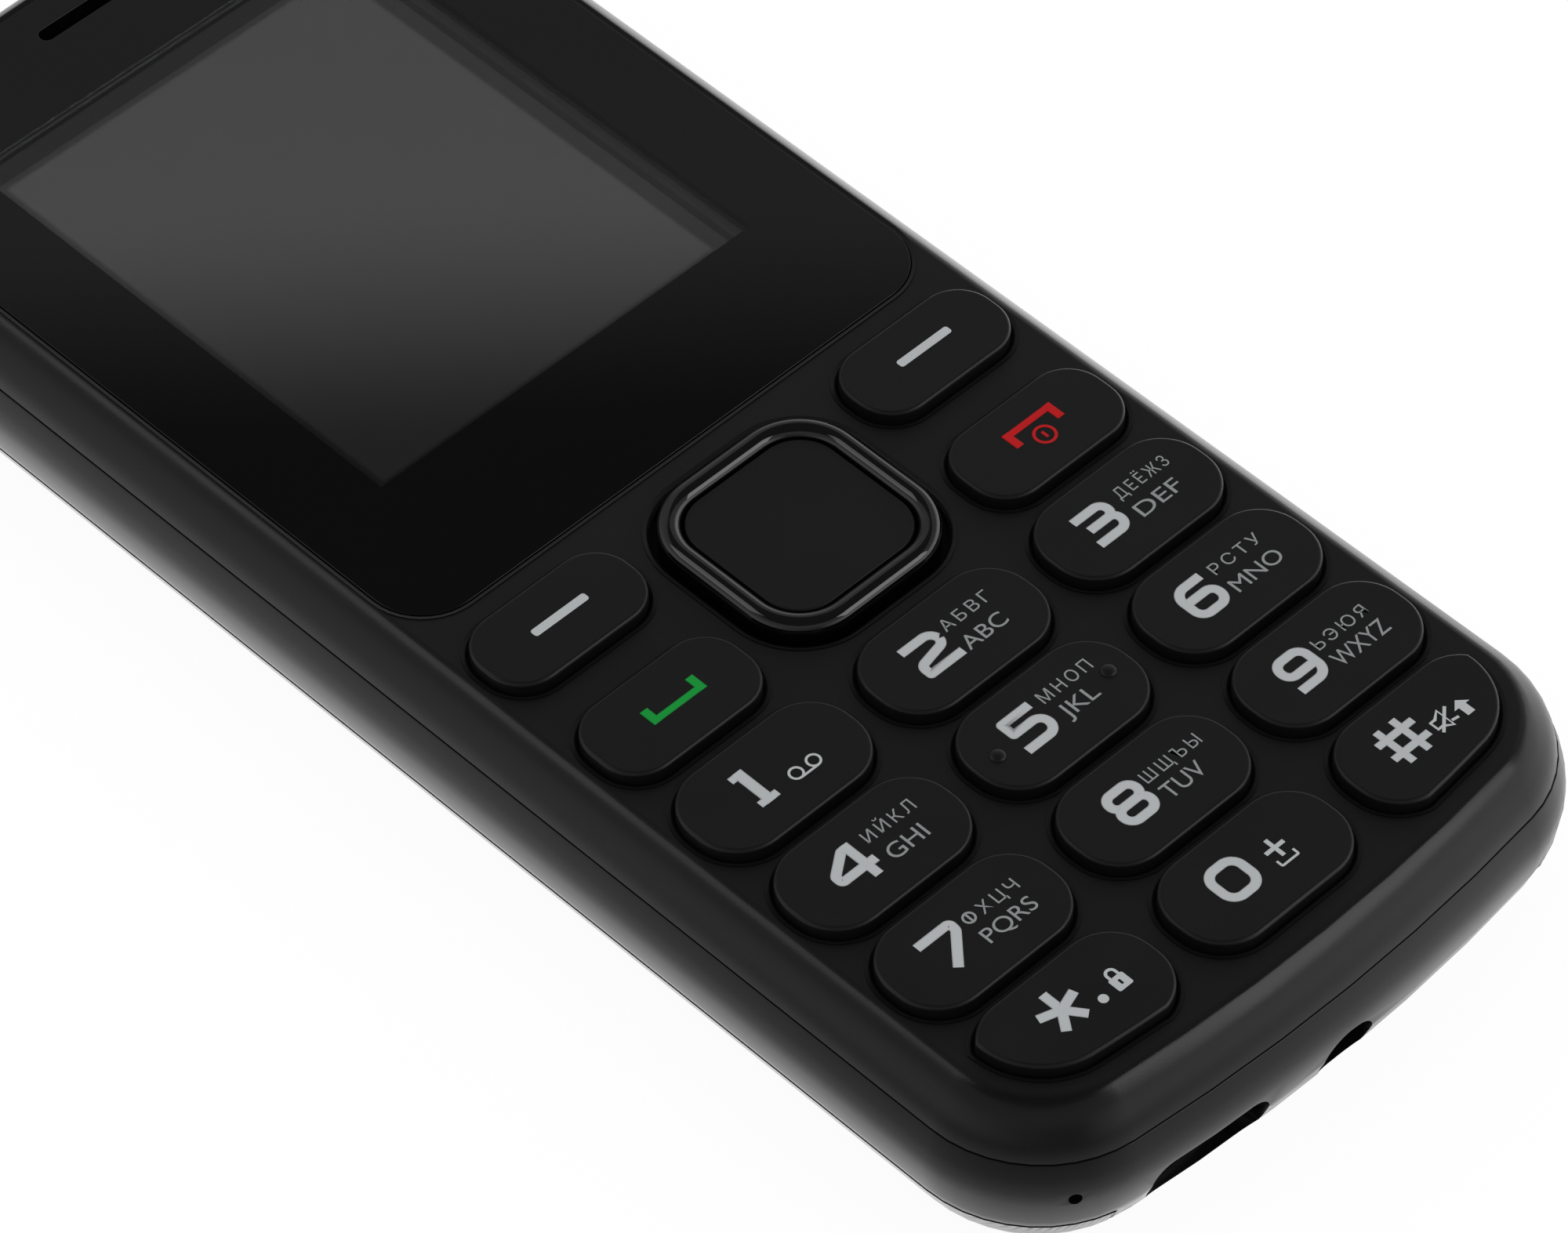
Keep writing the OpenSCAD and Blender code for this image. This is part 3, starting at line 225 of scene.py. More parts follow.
# Lens: flat acrylic sheet, printed gloss black apart from a clear window, glued into its pocket.
# The copy of the solid is cut along the window's four edges, and the print lies outside them.
WINDOW_LOW = (-15.5, 8.1)
WINDOW_HIGH = (15.95, 46.0)
LENS_TOP = 14.56
LENS_EASE = 0.06
LENS_CREASE = 30
FACING = 0.9
PRINT_BLACK = (0.0018, 0.0018, 0.0018)
ACRYLIC_IOR = 1.49


def slice_at(bm, at, out, clear=False):
    bmesh.ops.bisect_plane(bm, geom=bm.verts[:] + bm.edges[:] + bm.faces[:], plane_co=at * MM, plane_no=out,
                           clear_outer=clear)


lens = moulded_copy("display_lens", "display_lens_sheet", LENS_CREASE,
                    rims=((LENS_TOP, SHARP_RIM, LENS_EASE),))
cut = bmesh.new()
cut.from_mesh(lens.data)
for axis, along in enumerate((Vector((1, 0, 0)), Vector((0, 1, 0)))):
    for edge in (WINDOW_LOW[axis], WINDOW_HIGH[axis]):
        slice_at(cut, along * edge, along)
for face in cut.faces:
    spot = face.calc_center_median() / MM
    inside = all(WINDOW_LOW[a] < spot[a] < WINDOW_HIGH[a] for a in (0, 1))
    clear = face.normal.z < -FACING or (inside and face.normal.z > FACING)
    face.material_index = 1 if clear else 0
cut.to_mesh(lens.data)
cut.free()
gloss_print = surface("gloss_black_print", PRINT_BLACK, roughness=0.03, spread=0, depth=0)
clear_window = bpy.data.materials.new("clear_window")
clear_window.use_nodes = True
clear_shader = clear_window.node_tree.nodes["Principled BSDF"].inputs
clear_shader["Base Color"].default_value = (1, 1, 1, 1)
clear_shader["Roughness"].default_value = 0
clear_shader["IOR"].default_value = ACRYLIC_IOR
clear_shader["Transmission Weight"].default_value = 1
lens.data.materials.append(gloss_print)
lens.data.materials.append(clear_window)
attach(lens, "phone")
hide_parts("display_lens")
foam = surface("foam_adhesive", (0.006, 0.006, 0.006), roughness=0.8)
cloth = surface("woven_mesh", (0.012, 0.012, 0.012), roughness=0.7, grain=16000, depth=0.04)
coat(foam, "lens_adhesive")
coat(cloth, "earpiece_mesh")

# Keys: sixteen satin black caps, moulded with a flange that the face plate holds down.
# Each starts as a flat plate with round corners, is drawn up to its height and has its top edge rounded.
# The two lower outer keys are cut to the bezel's round corners, and key 5 has two small domes to feel for.
KEY_TOP = 15.35
KEY_FOOT = 12.85
KEY_EDGE = 0.25
KEY_CREASE = 35
KEY_BLACK = (0.0033, 0.0034, 0.0034)
SQUARE_TURN = 60
TOP_LEVEL = 0.0001
NUB_X = 4.7
NUB_R = 0.52
NUB_FLAT = 0.38
SIDE_X = 15.55
SOFT_Y = -7.63
SOFT_PLATE = (12.1, 6.2, 2.75)
CALL_Y = -17.23
CALL_PLATE = (12.1, 6.5, 2.75)
DIAL_X = 15.05
DIAL_PLATE = (13.1, 7.15, 3.25)
DIAL_ROWS = ((-49.97, ("key_star", "key_0", "key_hash")), (-41.79, ("key_7", "key_8", "key_9")),
             (-33.61, ("key_4", "key_5", "key_6")), (-25.43, ("key_1", "key_2", "key_3")))
KEYS = {"soft_key_left": (-SIDE_X, SOFT_Y, *SOFT_PLATE), "soft_key_right": (SIDE_X, SOFT_Y, *SOFT_PLATE),
        "call_key": (-SIDE_X, CALL_Y, *CALL_PLATE), "end_key": (SIDE_X, CALL_Y, *CALL_PLATE)}
for row, names in DIAL_ROWS:
    for column, name in enumerate(names):
        KEYS[name] = ((column - 1) * DIAL_X, row, *DIAL_PLATE)
CORNER_MID = (15.9, -47.93)
CORNER_REACH = 5.05
CORNER_TURN = 83.04
CORNER_CUTS = 14
END_MID = 82.3
END_REACH = 136.25
END_CUTS = 7
TRIM_WELD = 0.06


def rounded_plate(w, h, r, steps):
    bm = bmesh.new()
    bmesh.ops.create_grid(bm, x_segments=1, y_segments=1, size=0.5)
    bmesh.ops.scale(bm, vec=(w * MM, h * MM, 1), verts=bm.verts)
    bmesh.ops.bevel(bm, geom=bm.verts[:], offset=r * MM, offset_type="OFFSET", segments=steps, profile=0.5,
                    affect="VERTICES", material=-1)
    return bm


def draw_up(bm, foot, top, edge, steps=4):
    bmesh.ops.translate(bm, vec=(0, 0, foot * MM), verts=bm.verts)
    raised = bmesh.ops.extrude_face_region(bm, geom=bm.faces[:])["geom"]
    lifted = [v for v in raised if isinstance(v, bmesh.types.BMVert)]
    bmesh.ops.translate(bm, vec=(0, 0, (top - foot) * MM), verts=lifted)
    bmesh.ops.recalc_face_normals(bm, faces=bm.faces)
    rim = [e for e in bm.edges if e.calc_face_angle(0) > math.radians(SQUARE_TURN)
           and all(abs(v.co.z - top * MM) < TOP_LEVEL * MM for v in e.verts)]
    bmesh.ops.bevel(bm, geom=rim, offset=edge * MM, offset_type="OFFSET", segments=steps, profile=0.5,
                    affect="EDGES", material=-1)
    for e in bm.edges:
        e.smooth = e.calc_face_angle(0) < math.radians(KEY_CREASE)


def trim_to_casing(bm, side):
    corner = Vector((side * CORNER_MID[0], CORNER_MID[1], 0))
    for i in range(CORNER_CUTS + 1):
        out = outwards(side, -CORNER_TURN + CORNER_TURN * i / CORNER_CUTS)
        slice_at(bm, corner + out * CORNER_REACH, out, clear=True)
    for i in range(END_CUTS):
        out = outwards(side, -90 + (90 - CORNER_TURN) * i / END_CUTS)
        slice_at(bm, Vector((0, END_MID, 0)) + out * END_REACH, out, clear=True)
    bmesh.ops.remove_doubles(bm, verts=bm.verts, dist=TRIM_WELD * MM)


def outwards(side, turn):
    return Vector((side * math.cos(math.radians(turn)), math.sin(math.radians(turn)), 0))


key_black = surface("satin_black_keys", KEY_BLACK, roughness=0.40, grain=8000, depth=0.007)
for name, (x, y, w, h, r) in KEYS.items():
    bm = rounded_plate(w, h, r, steps=12)
    bmesh.ops.translate(bm, vec=(x * MM, y * MM, 0), verts=bm.verts)
    if name in ("key_star", "key_hash"):
        trim_to_casing(bm, 1 if x > 0 else -1)
    draw_up(bm, KEY_FOOT, KEY_TOP, KEY_EDGE)
    if name == "key_5":
        for side in (-1, 1):
            place = Matrix.Translation((side * NUB_X * MM, y * MM, KEY_TOP * MM))
            bmesh.ops.create_uvsphere(bm, u_segments=24, v_segments=16, radius=NUB_R * MM,
                                      matrix=place @ Matrix.Diagonal((1, 1, NUB_FLAT, 1)))
    cap = smooth_piece(bm, name + "_cap")
    cap.data.materials.append(key_black)
    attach(cap, name)
    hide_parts(name)

# Key legends: pad-printed figures, letters and signs, a few microns thick on the key tops.
# Figures and signs are strokes of even width, and the letter lines come from a plain sans serif face.
# Each path point is a place, with the radius of its turn where it has one.
INK_Z = KEY_TOP + 0.004
INK_FLAT = 0.01
INK_LAYER = 0.0004
FIGURE_STROKE = 0.67
THIN_FIGURE_STROKE = 0.55
UPRIGHT_STROKE = 0.77
STAR_STROKE = 0.66
STAR_ARM = 1.56
LATIN_SPACE = 1.0
LATIN_TALL = 0.70
CYRILLIC_SPACE = 1.3
CYRILLIC_TALL = 0.73
TURN_STEPS = 8
RING_STEPS = 24


def corner_rounded(points, closed):
    path = []
    for i, point in enumerate(points):
        here = Vector(point[:2])
        radius = point[2] if len(point) > 2 else 0
        at_end = not closed and i in (0, len(points) - 1)
        if at_end or not radius:
            path.append(here)
            continue
        before = (Vector(points[i - 1][:2]) - here).normalized()
        after = (Vector(points[(i + 1) % len(points)][:2]) - here).normalized()
        half = before.angle(after) / 2
        start = here + before * (radius / math.tan(half))
        middle = here + (before + after).normalized() * (radius / math.sin(half))
        stop = here + after * (radius / math.tan(half))
        first = start - middle
        sweep = first.angle_signed(stop - middle)
        for k in range(TURN_STEPS + 1):
            path.append(middle + Matrix.Rotation(-sweep * k / TURN_STEPS, 2) @ first)
    return path


def lay_path(curve, points, closed):
    path = corner_rounded(points, closed)
    spline = curve.splines.new("POLY")
    spline.points.add(len(path) - 1)
    for point, place in zip(spline.points, path):
        point.co = (place.x, place.y, 0, 1)
    spline.use_cyclic_u = closed


def ink_from(curve, shift, scale=(1, 1)):
    holder = in_scene("ink", curve)
    mesh = bpy.data.meshes.new_from_object(holder.evaluated_get(bpy.context.evaluated_depsgraph_get()))
    bpy.data.objects.remove(holder)
    bpy.data.curves.remove(curve)
    mesh.transform(Matrix.Diagonal((scale[0] * MM, scale[1] * MM, INK_FLAT * MM, 1)))
    mesh.transform(Matrix.Translation((shift[0] * MM, shift[1] * MM, INK_Z * MM)))
    return mesh


def stroke(points, width, shift, closed=False):
    line = bpy.data.curves.new("stroke", "CURVE")
    line.dimensions = "3D"
    line.bevel_depth = width / 2
    line.bevel_resolution = 2
    line.use_fill_caps = True
    lay_path(line, points, closed)
    return ink_from(line, shift)


def ink_ring(middle, radius, width, shift):
    turns = [2 * math.pi * i / RING_STEPS for i in range(RING_STEPS)]
    around = [(middle[0] + radius * math.cos(a), middle[1] + radius * math.sin(a)) for a in turns]
    return stroke(around, width, shift, closed=True)


def filled(shift, *outlines):
    shape = bpy.data.curves.new("filled", "CURVE")
    shape.dimensions = "2D"
    shape.fill_mode = "BOTH"
    for outline in outlines:
        lay_path(shape, outline, closed=True)
    return ink_from(shape, shift)


def box_outline(half_w, half_h, radius):
    corners = ((-half_w, -half_h), (half_w, -half_h), (half_w, half_h), (-half_w, half_h))
    return [(x, y, radius) for x, y in corners]


def letters(text, width, height, shift):
    latin = text.isascii()
    line = bpy.data.curves.new("letters", "FONT")
    line.body = text
    line.space_character = LATIN_SPACE if latin else CYRILLIC_SPACE
    holder = in_scene("letters", line)
    bpy.context.view_layer.update()
    size = width / holder.dimensions.x
    left = min(corner[0] for corner in holder.bound_box)
    bpy.data.objects.remove(holder)
    tall = height / (LATIN_TALL if latin else CYRILLIC_TALL)
    return in_letter_ink(ink_from(line, (shift[0] - left * size, shift[1]), (size, tall)))


def in_letter_ink(mesh):
    mesh.polygons.foreach_set("material_index", [1] * len(mesh.polygons))
    return mesh


def offset_from(name, at):
    return (KEYS[name][0] + at[0], KEYS[name][1] + at[1])


OPEN_FIGURES = {
    "key_1": ((-2.22, -1.32), [(0.735, 0.0), (0.735, 3.04)], [(0.0, 2.76), (0.9, 2.76)],
              [(0.0, 0.28), (1.45, 0.28)]),
    "key_2": ((-3.29, -1.32), [(0.12, 2.71), (2.68, 2.71, 0.72), (2.68, 1.62, 0.55), (0.34, 1.14, 0.45),
                               (0.34, 0.33, 0.02), (3.04, 0.33)]),
    "key_3": ((-3.47, -1.24), [(0.05, 2.67), (2.46, 2.67, 0.6), (2.46, 1.54, 0.5), (0.38, 1.54)],
              [(0.38, 1.54), (2.51, 1.54, 0.5), (2.51, 0.33, 0.65), (0.0, 0.33)]),
    "key_4": ((-3.28, -1.45), [(2.4, 2.74), (1.9, 2.74, 0.2), (0.33, 1.6, 0.25), (0.33, 1.04, 0.18),
                               (3.08, 1.04)], [(2.34, 0.0), (2.34, 3.05)]),
    "key_5": ((-3.21, -1.31), [(2.66, 2.78), (0.34, 2.78, 0.02), (0.34, 1.76, 0.02), (2.59, 1.76, 0.68),
                               (2.59, 0.33, 0.7), (0.03, 0.33)]),
    "key_6": ((-3.63, -1.43), [(2.62, 2.78), (0.34, 2.78, 0.85), (0.34, 0.34, 0.7), (2.58, 0.34, 0.68),
                               (2.58, 1.72, 0.6), (0.4, 1.72)]),
    "key_7": ((-3.37, -1.46), [(0.0, 2.78), (2.67, 2.78, 0.22), (2.6, 2.16, 0.4), (0.74, 0.12)]),
    "key_9": ((-3.59, -1.31), [(0.2, 0.34), (2.58, 0.34, 0.85), (2.58, 2.78, 0.7), (0.34, 2.78, 0.68),
                               (0.34, 1.4, 0.6), (2.5, 1.4)]),
    "key_hash": ((-3.43, -1.11), [(0.8, 0.0), (0.8, 3.08)], [(2.15, 0.0), (2.15, 3.08)],
                 [(0.0, 0.89), (3.09, 0.89)], [(0.0, 2.21), (3.09, 2.21)]),
}
CLOSED_FIGURES = {
    "key_8": ((-3.21, -1.35), [(0.36, 1.58, 0.55), (2.56, 1.58, 0.55), (2.56, 2.78, 0.6), (0.36, 2.78, 0.6)],
              [(0.34, 0.34, 0.64), (2.58, 0.34, 0.64), (2.58, 1.58, 0.55), (0.34, 1.58, 0.55)]),
    "key_0": ((-3.25, -1.32), [(0.34, 0.34, 0.85), (2.73, 0.34, 0.85), (2.73, 2.79, 0.85),
                               (0.34, 2.79, 0.85)]),
}
LETTER_LINES = {
    "key_2": (("АБВГ", 3.96, 0.92, (0.04, 0.68)), ("ABC", 3.38, 1.12, (0.04, -1.32))),
    "key_3": (("ДЕЁЖЗ", 4.37, 0.92, (0.08, 0.72)), ("DEF", 3.54, 1.13, (0.08, -1.24))),
    "key_4": (("ИЙКЛ", 3.96, 0.91, (0.26, 0.57)), ("GHI", 2.91, 1.16, (0.47, -1.40))),
    "key_5": (("МНОП", 4.16, 0.93, (0.17, 0.82)), ("JKL", 2.80, 1.16, (0.33, -0.98))),
    "key_6": (("РСТУ", 4.09, 0.88, (-0.26, 0.67)), ("MNO", 4.04, 1.13, (-0.26, -1.26))),
    "key_7": (("ХЦЧ", 3.0, 0.90, (1.215, 0.33)), ("PQRS", 4.03, 1.12, (-0.03, -1.44))),
    "key_8": (("ШЩЪЫ", 4.67, 0.90, (0.04, 0.48)), ("TUV", 3.20, 1.19, (0.13, -1.30))),
    "key_9": (("ЬЭЮЯ", 4.38, 0.90, (-0.26, 0.42)), ("WXYZ", 4.38, 1.20, (-0.26, -1.40))),
}
legends = {name: [] for name in KEYS}
for figures, closed in ((OPEN_FIGURES, False), (CLOSED_FIGURES, True)):
    for name, (at, *paths) in figures.items():
        width = THIN_FIGURE_STROKE if name in ("key_1", "key_hash") else FIGURE_STROKE
        legends[name] += [stroke(path, width, offset_from(name, at), closed) for path in paths]
one_at, one_upright = OPEN_FIGURES["key_1"][:2]
legends["key_1"].append(stroke(one_upright, UPRIGHT_STROKE, offset_from("key_1", one_at)))
star = offset_from("key_star", (-0.66, 0.51))
for turn in (90, 162, 234, 306, 18):
    arm = (STAR_ARM * math.cos(math.radians(turn)), STAR_ARM * math.sin(math.radians(turn)))
    legends["key_star"].append(stroke([(0, 0), arm], STAR_STROKE, star))
for name, lines in LETTER_LINES.items():
    for text, width, height, at in lines:
        legends[name].append(letters(text, width, height, offset_from(name, at)))
round_letter = offset_from("key_7", (0.42, 0.80))
legends["key_7"] += [in_letter_ink(ink_ring((0, 0), 0.38, 0.16, round_letter)),
                     in_letter_ink(stroke([(0, -0.43), (0, 0.43)], 0.16, round_letter))]
dash = box_outline(2.2, 0.31, 0.2)
legends["soft_key_left"].append(filled(offset_from("soft_key_left", (0.17, 0.1)), dash))
legends["soft_key_right"].append(filled(offset_from("soft_key_right", (0.17, 0.25)), dash))
tape = offset_from("key_1", (1.01, -0.8))
legends["key_1"] += [ink_ring((0, 0), 0.44, 0.17, tape),
                     ink_ring((1.42, 0), 0.44, 0.17, tape),
                     stroke([(0, -0.45), (1.42, -0.45)], 0.17, tape)]
plus = offset_from("key_0", (1.75, 0.16))
tray = [(-0.67, -0.79), (-0.67, -1.27, 0.08), (0.69, -1.27, 0.08), (0.69, -0.79)]
legends["key_0"] += [stroke([(-0.77, 0), (0.77, 0)], 0.31, plus),
                     stroke([(0, -0.77), (0, 0.77)], 0.31, plus),
                     stroke(tray, 0.17, plus)]
lock = offset_from("key_star", (3.245, -0.42))
shackle = [(-0.33, 0.4), (-0.33, 1.1, 0.33), (0.33, 1.1, 0.33), (0.33, 0.4)]
dot = offset_from("key_star", (1.63, -0.59))
legends["key_star"] += [filled(lock, box_outline(0.57, 0.52, 0.14), box_outline(0.09, 0.2, 0.05)),
                        stroke(shackle, 0.21, lock),
                        filled(dot, box_outline(0.33, 0.33, 0.329))]
mute = offset_from("key_hash", (0.94, -0.14))
horn = [(-0.76, -0.34), (-0.76, 0.3), (-0.36, 0.3), (0.22, 0.72), (0.22, -0.74), (-0.36, -0.34)]
arrow = [(0.96, -0.08), (1.6, 0.5), (2.26, -0.08), (1.92, -0.08), (1.92, -0.85), (1.32, -0.85), (1.32, -0.08)]
legends["key_hash"] += [stroke(horn, 0.22, mute, closed=True),
                        stroke([(-0.7, -0.72), (0.82, 0.62)], 0.22, mute),
                        stroke([(0.34, -0.42), (0.86, -0.5)], 0.2, mute),
                        filled(mute, arrow)]
call = offset_from("call_key", (0.34, -0.27))
legends["call_key"] += [stroke([(-1.95, 0), (1.95, 0)], 0.5, call),
                        stroke([(-1.86, -0.25), (-1.86, 1.04)], 0.62, call),
                        stroke([(1.86, -0.25), (1.86, 1.04)], 0.62, call)]
hang_up = offset_from("end_key", (0.2, 0.98))
legends["end_key"] += [stroke([(-1.9, 0), (1.9, 0)], 0.5, hang_up),
                       stroke([(-1.78, 0.25), (-1.78, -1.13)], 0.6, hang_up),
                       stroke([(1.78, 0.25), (1.78, -1.13)], 0.6, hang_up),
                       ink_ring((0, -1.46), 0.69, 0.21, hang_up),
                       stroke([(0, -1.74), (0, -1.18)], 0.21, hang_up)]


def ink(name, colour, specular):
    return surface(name, colour, roughness=0.55, mottle=0.08, grain=4000, depth=0.002, specular=specular)


pale_ink = ink("pale_grey_ink", (0.465, 0.485, 0.495), 0.5)
letter_ink = ink("thin_grey_ink", (0.262, 0.275, 0.281), 0.2)
green_ink = ink("green_ink", (0.006, 0.29, 0.04), 0.1)
red_ink = ink("red_ink", (0.48, 0.0087, 0.0104), 0.1)
for name, meshes in legends.items():
    print_layer = bmesh.new()
    for layer, mesh in enumerate(meshes):
        mesh.transform(Matrix.Translation((0, 0, layer * INK_LAYER * MM)))
        print_layer.from_mesh(mesh)
        bpy.data.meshes.remove(mesh)
    legend = in_scene(name + "_legend", mesh_from(print_layer, name + "_legend"))
    legend.data.materials.append({"call_key": green_ink, "end_key": red_ink}.get(name, pale_ink))
    if name in LETTER_LINES:
        legend.data.materials.append(letter_ink)
    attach(legend, name)

# Navigation key: polished black ring with a half-round crest on a soft rocking base, round a satin OK key.
# The ring is a flat rounded square with its middle cut out, drawn up and rolled over on both edges.
NAV_Y = -12.355
RING_W = 14.9
RING_R = 4.5
RING_BAR = 1.55
RING_ROLL = 0.495 * RING_BAR
RING_FOOT = 13.32
RING_TOP = 15.7
RING_BLACK = (0.0016, 0.0016, 0.0017)
OK_W = 11.48
OK_R = 2.79
OK_EDGE = 0.12
OK_FOOT = 13.6
OK_TOP = 15.25

bm = rounded_plate(RING_W, RING_W, RING_R, steps=16)
bmesh.ops.inset_region(bm, faces=bm.faces[:], use_boundary=True, use_even_offset=True,
                       thickness=RING_BAR * MM)
middle = max(bm.faces, key=lambda face: face.calc_area())
bmesh.ops.delete(bm, geom=[middle], context="FACES_ONLY")
bmesh.ops.translate(bm, vec=(0, NAV_Y * MM, 0), verts=bm.verts)
draw_up(bm, RING_FOOT, RING_TOP, RING_ROLL, steps=8)
nav_ring = smooth_piece(bm, "nav_ring_bar")
ring_gloss = surface("polished_black_ring", RING_BLACK, roughness=0.07, spread=0.04, grain=600, depth=0.0005,
                     specular=1)
nav_ring.data.materials.append(ring_gloss)
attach(nav_ring, "nav_ring")
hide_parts("nav_ring")

bm = rounded_plate(OK_W, OK_W, OK_R, steps=12)
bmesh.ops.translate(bm, vec=(0, NAV_Y * MM, 0), verts=bm.verts)
draw_up(bm, OK_FOOT, OK_TOP, OK_EDGE)
ok_cap = smooth_piece(bm, "ok_key_cap")
ok_cap.data.materials.append(key_black)
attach(ok_cap, "ok_key")
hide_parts("ok_key")
silicone = surface("soft_black_silicone", (0.010, 0.010, 0.0105), roughness=0.7, grain=5000, depth=0.02)
film = surface("dome_film", (0.6, 0.61, 0.63), roughness=0.3, mottle=0.1, grain=2500, depth=0.004)
coat(silicone, "nav_base", "keypad_mat")
coat(film, "dome_sheet")

# Boards and working parts: resist-coated boards, black mouldings, a copper flex and a sintered weight.
# They lie inside the closed housings and keep their CAD solids.
resist = surface("green_solder_resist", (0.012, 0.062, 0.036), roughness=0.38, mottle=0.5, grain=2200,
                 depth=0.01)
inner_black = surface("moulded_inner_black", (0.012, 0.012, 0.0125), roughness=0.5, grain=5000, depth=0.01)
copper = surface("copper_flex", (0.42, 0.17, 0.05), roughness=0.35, mottle=0.3, grain=2500, depth=0.005)
tungsten = surface("sintered_weight", (0.14, 0.145, 0.15), roughness=0.45, mottle=0.3, grain=5000, depth=0.01,
                   metallic=1)
brass = surface("antenna_brass", (0.52, 0.29, 0.10), roughness=0.3, grain=2500, depth=0.004, metallic=1)
coat(resist, "main_board", "port_board")
coat(inner_black, "battery_contacts", "camera_module", "loudspeaker", "audio_jack", "antenna_carrier")
coat(copper, "port_flex")
coat(tungsten, "motor_weight")
coat(brass, "antenna")

# Rear housing: side walls, deck and port block in one satin black moulding, screwed to the front.
# The merged copy of the solid keeps its openings, and its rim comes up to the front's in a fine seam.
REAR_RIM = 10.9
SEAM_GAP = 0.06
SIDE_BLACK = (0.0040, 0.0039, 0.0038)

side_black = surface("satin_black_sides", SIDE_BLACK, roughness=0.21, depth=0.006)
rear_shell = moulded_copy("rear_housing", "rear_shell", SHELL_CREASE,
                          rims=((SEAM_Z - SEAM_GAP, SHARP_RIM, RIM_EASE),),
                          lifted=(REAR_RIM, SEAM_Z - SEAM_GAP))
rear_shell.data.materials.append(side_black)
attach(rear_shell, "phone")
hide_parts("rear_housing")

# Battery and its cover: a wrapped flat cell, and a thin moulded pan with fine ribs and a camera window.
# The cover's ribs run along the phone, as a fine wave in its surface.
RIB_PITCH = 0.42
RIB_DEPTH = 0.06
RIB_STRENGTH = 0.6
WAVE_UNIT = 2 * math.pi / 20

battery_wrap = surface("battery_wrap", (0.035, 0.037, 0.04), roughness=0.42, grain=1500, depth=0.01)
coat(battery_wrap, "battery")
cover_black = surface("ribbed_black_cover", SIDE_BLACK, roughness=0.24, depth=0.006)
rib_tree = cover_black.node_tree
rib_spot = shading_step(rib_tree, "TexCoord").outputs["Object"]
rib_wave = shading_step(rib_tree, "TexWave", {"Vector": rib_spot, "Scale": WAVE_UNIT / (RIB_PITCH * MM)})
rib_bump = shading_step(rib_tree, "Bump", {"Strength": RIB_STRENGTH, "Distance": RIB_DEPTH * MM,
                                           "Height": rib_wave.outputs["Fac"],
                                           "Normal": rib_tree.nodes["Bump"].outputs["Normal"]})
rib_tree.links.new(rib_bump.outputs["Normal"], rib_tree.nodes["Principled BSDF"].inputs["Normal"])
cover = moulded_copy("battery_cover", "battery_cover_pan", SHELL_CREASE)
cover.data.materials.append(cover_black)
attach(cover, "battery_cover")
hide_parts("battery_cover")
window_glass = surface("camera_window_glass", (0.006, 0.006, 0.007), roughness=0.05, spread=0.02, grain=800,
                       depth=0.0005)
coat(window_glass, "camera_window")

# Studio: pale table that runs out to white, soft lamps, and the camera at the photograph's place.
# The world has two pale cards at its sides, the right one brighter, and a dark ceiling for the plastic to show.
# The table glows as the world's sides do, brighter near the phone, and is see-through from below.
SIDE_DARK = 0.15
SIDE_CARDS = (((0.95, -0.3, 0), 0.9, 1), ((-0.87, 0.48, 0), 0.33, 2))
TABLE_SIZE = 1500
TABLE_GAP = 0.05
TABLE_WHITE = (0.92, 0.92, 0.92, 1)
TABLE_ROUGH = 0.8
TABLE_GLOW = 0.93
TABLE_SEEN = 1.02
TABLE_CORE = (15.9, 47.9)
TABLE_CORE_R = 8.8
TABLE_FADE = 11
TABLE_NEAR = (1.45, 0.9)
TABLE_TURN = (-20, 5)
TABLE_BEHIND = (0.66, 0.75, 0)
TABLE_BACK = 0.7
SKY_STOPS = ((0.12, 1.0), (0.35, 0.32), (0.50, 0.25), (0.70, 0.245), (0.716, 0.27), (0.733, 0.055))
SKY_TURN = (0.30, 0.50)
SKY_SOFT = (0.78, 0.78, 0.78, 1)
SKY_WHITE = (1, 1, 1, 1)
LAMP_SIZE = 400
LAMPS = (("left softbox", (-400, 450, 700), 0.38), ("right softbox", (420, -610, 550), 0.78))
CAMERA_AT = (-218.05, -231.52, 359.24)
CAMERA_AIM = (-5.965, -17.04, 15.35)
CAMERA_LENS = 175.95
CAMERA_SENSOR = 36
CAMERA_REACH = 10000


def vector_step(tree, operation, *terms):
    step = shading_step(tree, "VectorMath", dict(enumerate(terms)), operation=operation)
    return step.outputs["Value" if operation in ("DOT_PRODUCT", "LENGTH") else "Vector"]


def studio_side_group():
    group = bpy.data.node_groups.new("studio_side", "ShaderNodeTree")
    group.interface.new_socket("Direction", in_out="INPUT", socket_type="NodeSocketVector")
    group.interface.new_socket("Level", in_out="OUTPUT", socket_type="NodeSocketFloat")
    direction = group.nodes.new("NodeGroupInput").outputs["Direction"]
    level = SIDE_DARK
    for towards, strength, sharpness in SIDE_CARDS:
        along = vector_step(group, "DOT_PRODUCT", direction, towards)
        facing = number_step(group, "MAXIMUM", along, 0)
        narrowed = number_step(group, "POWER", facing, sharpness)
        level = number_step(group, "MULTIPLY_ADD", narrowed, strength, level)
    group.links.new(level, group.nodes.new("NodeGroupOutput").inputs["Level"])
    return group


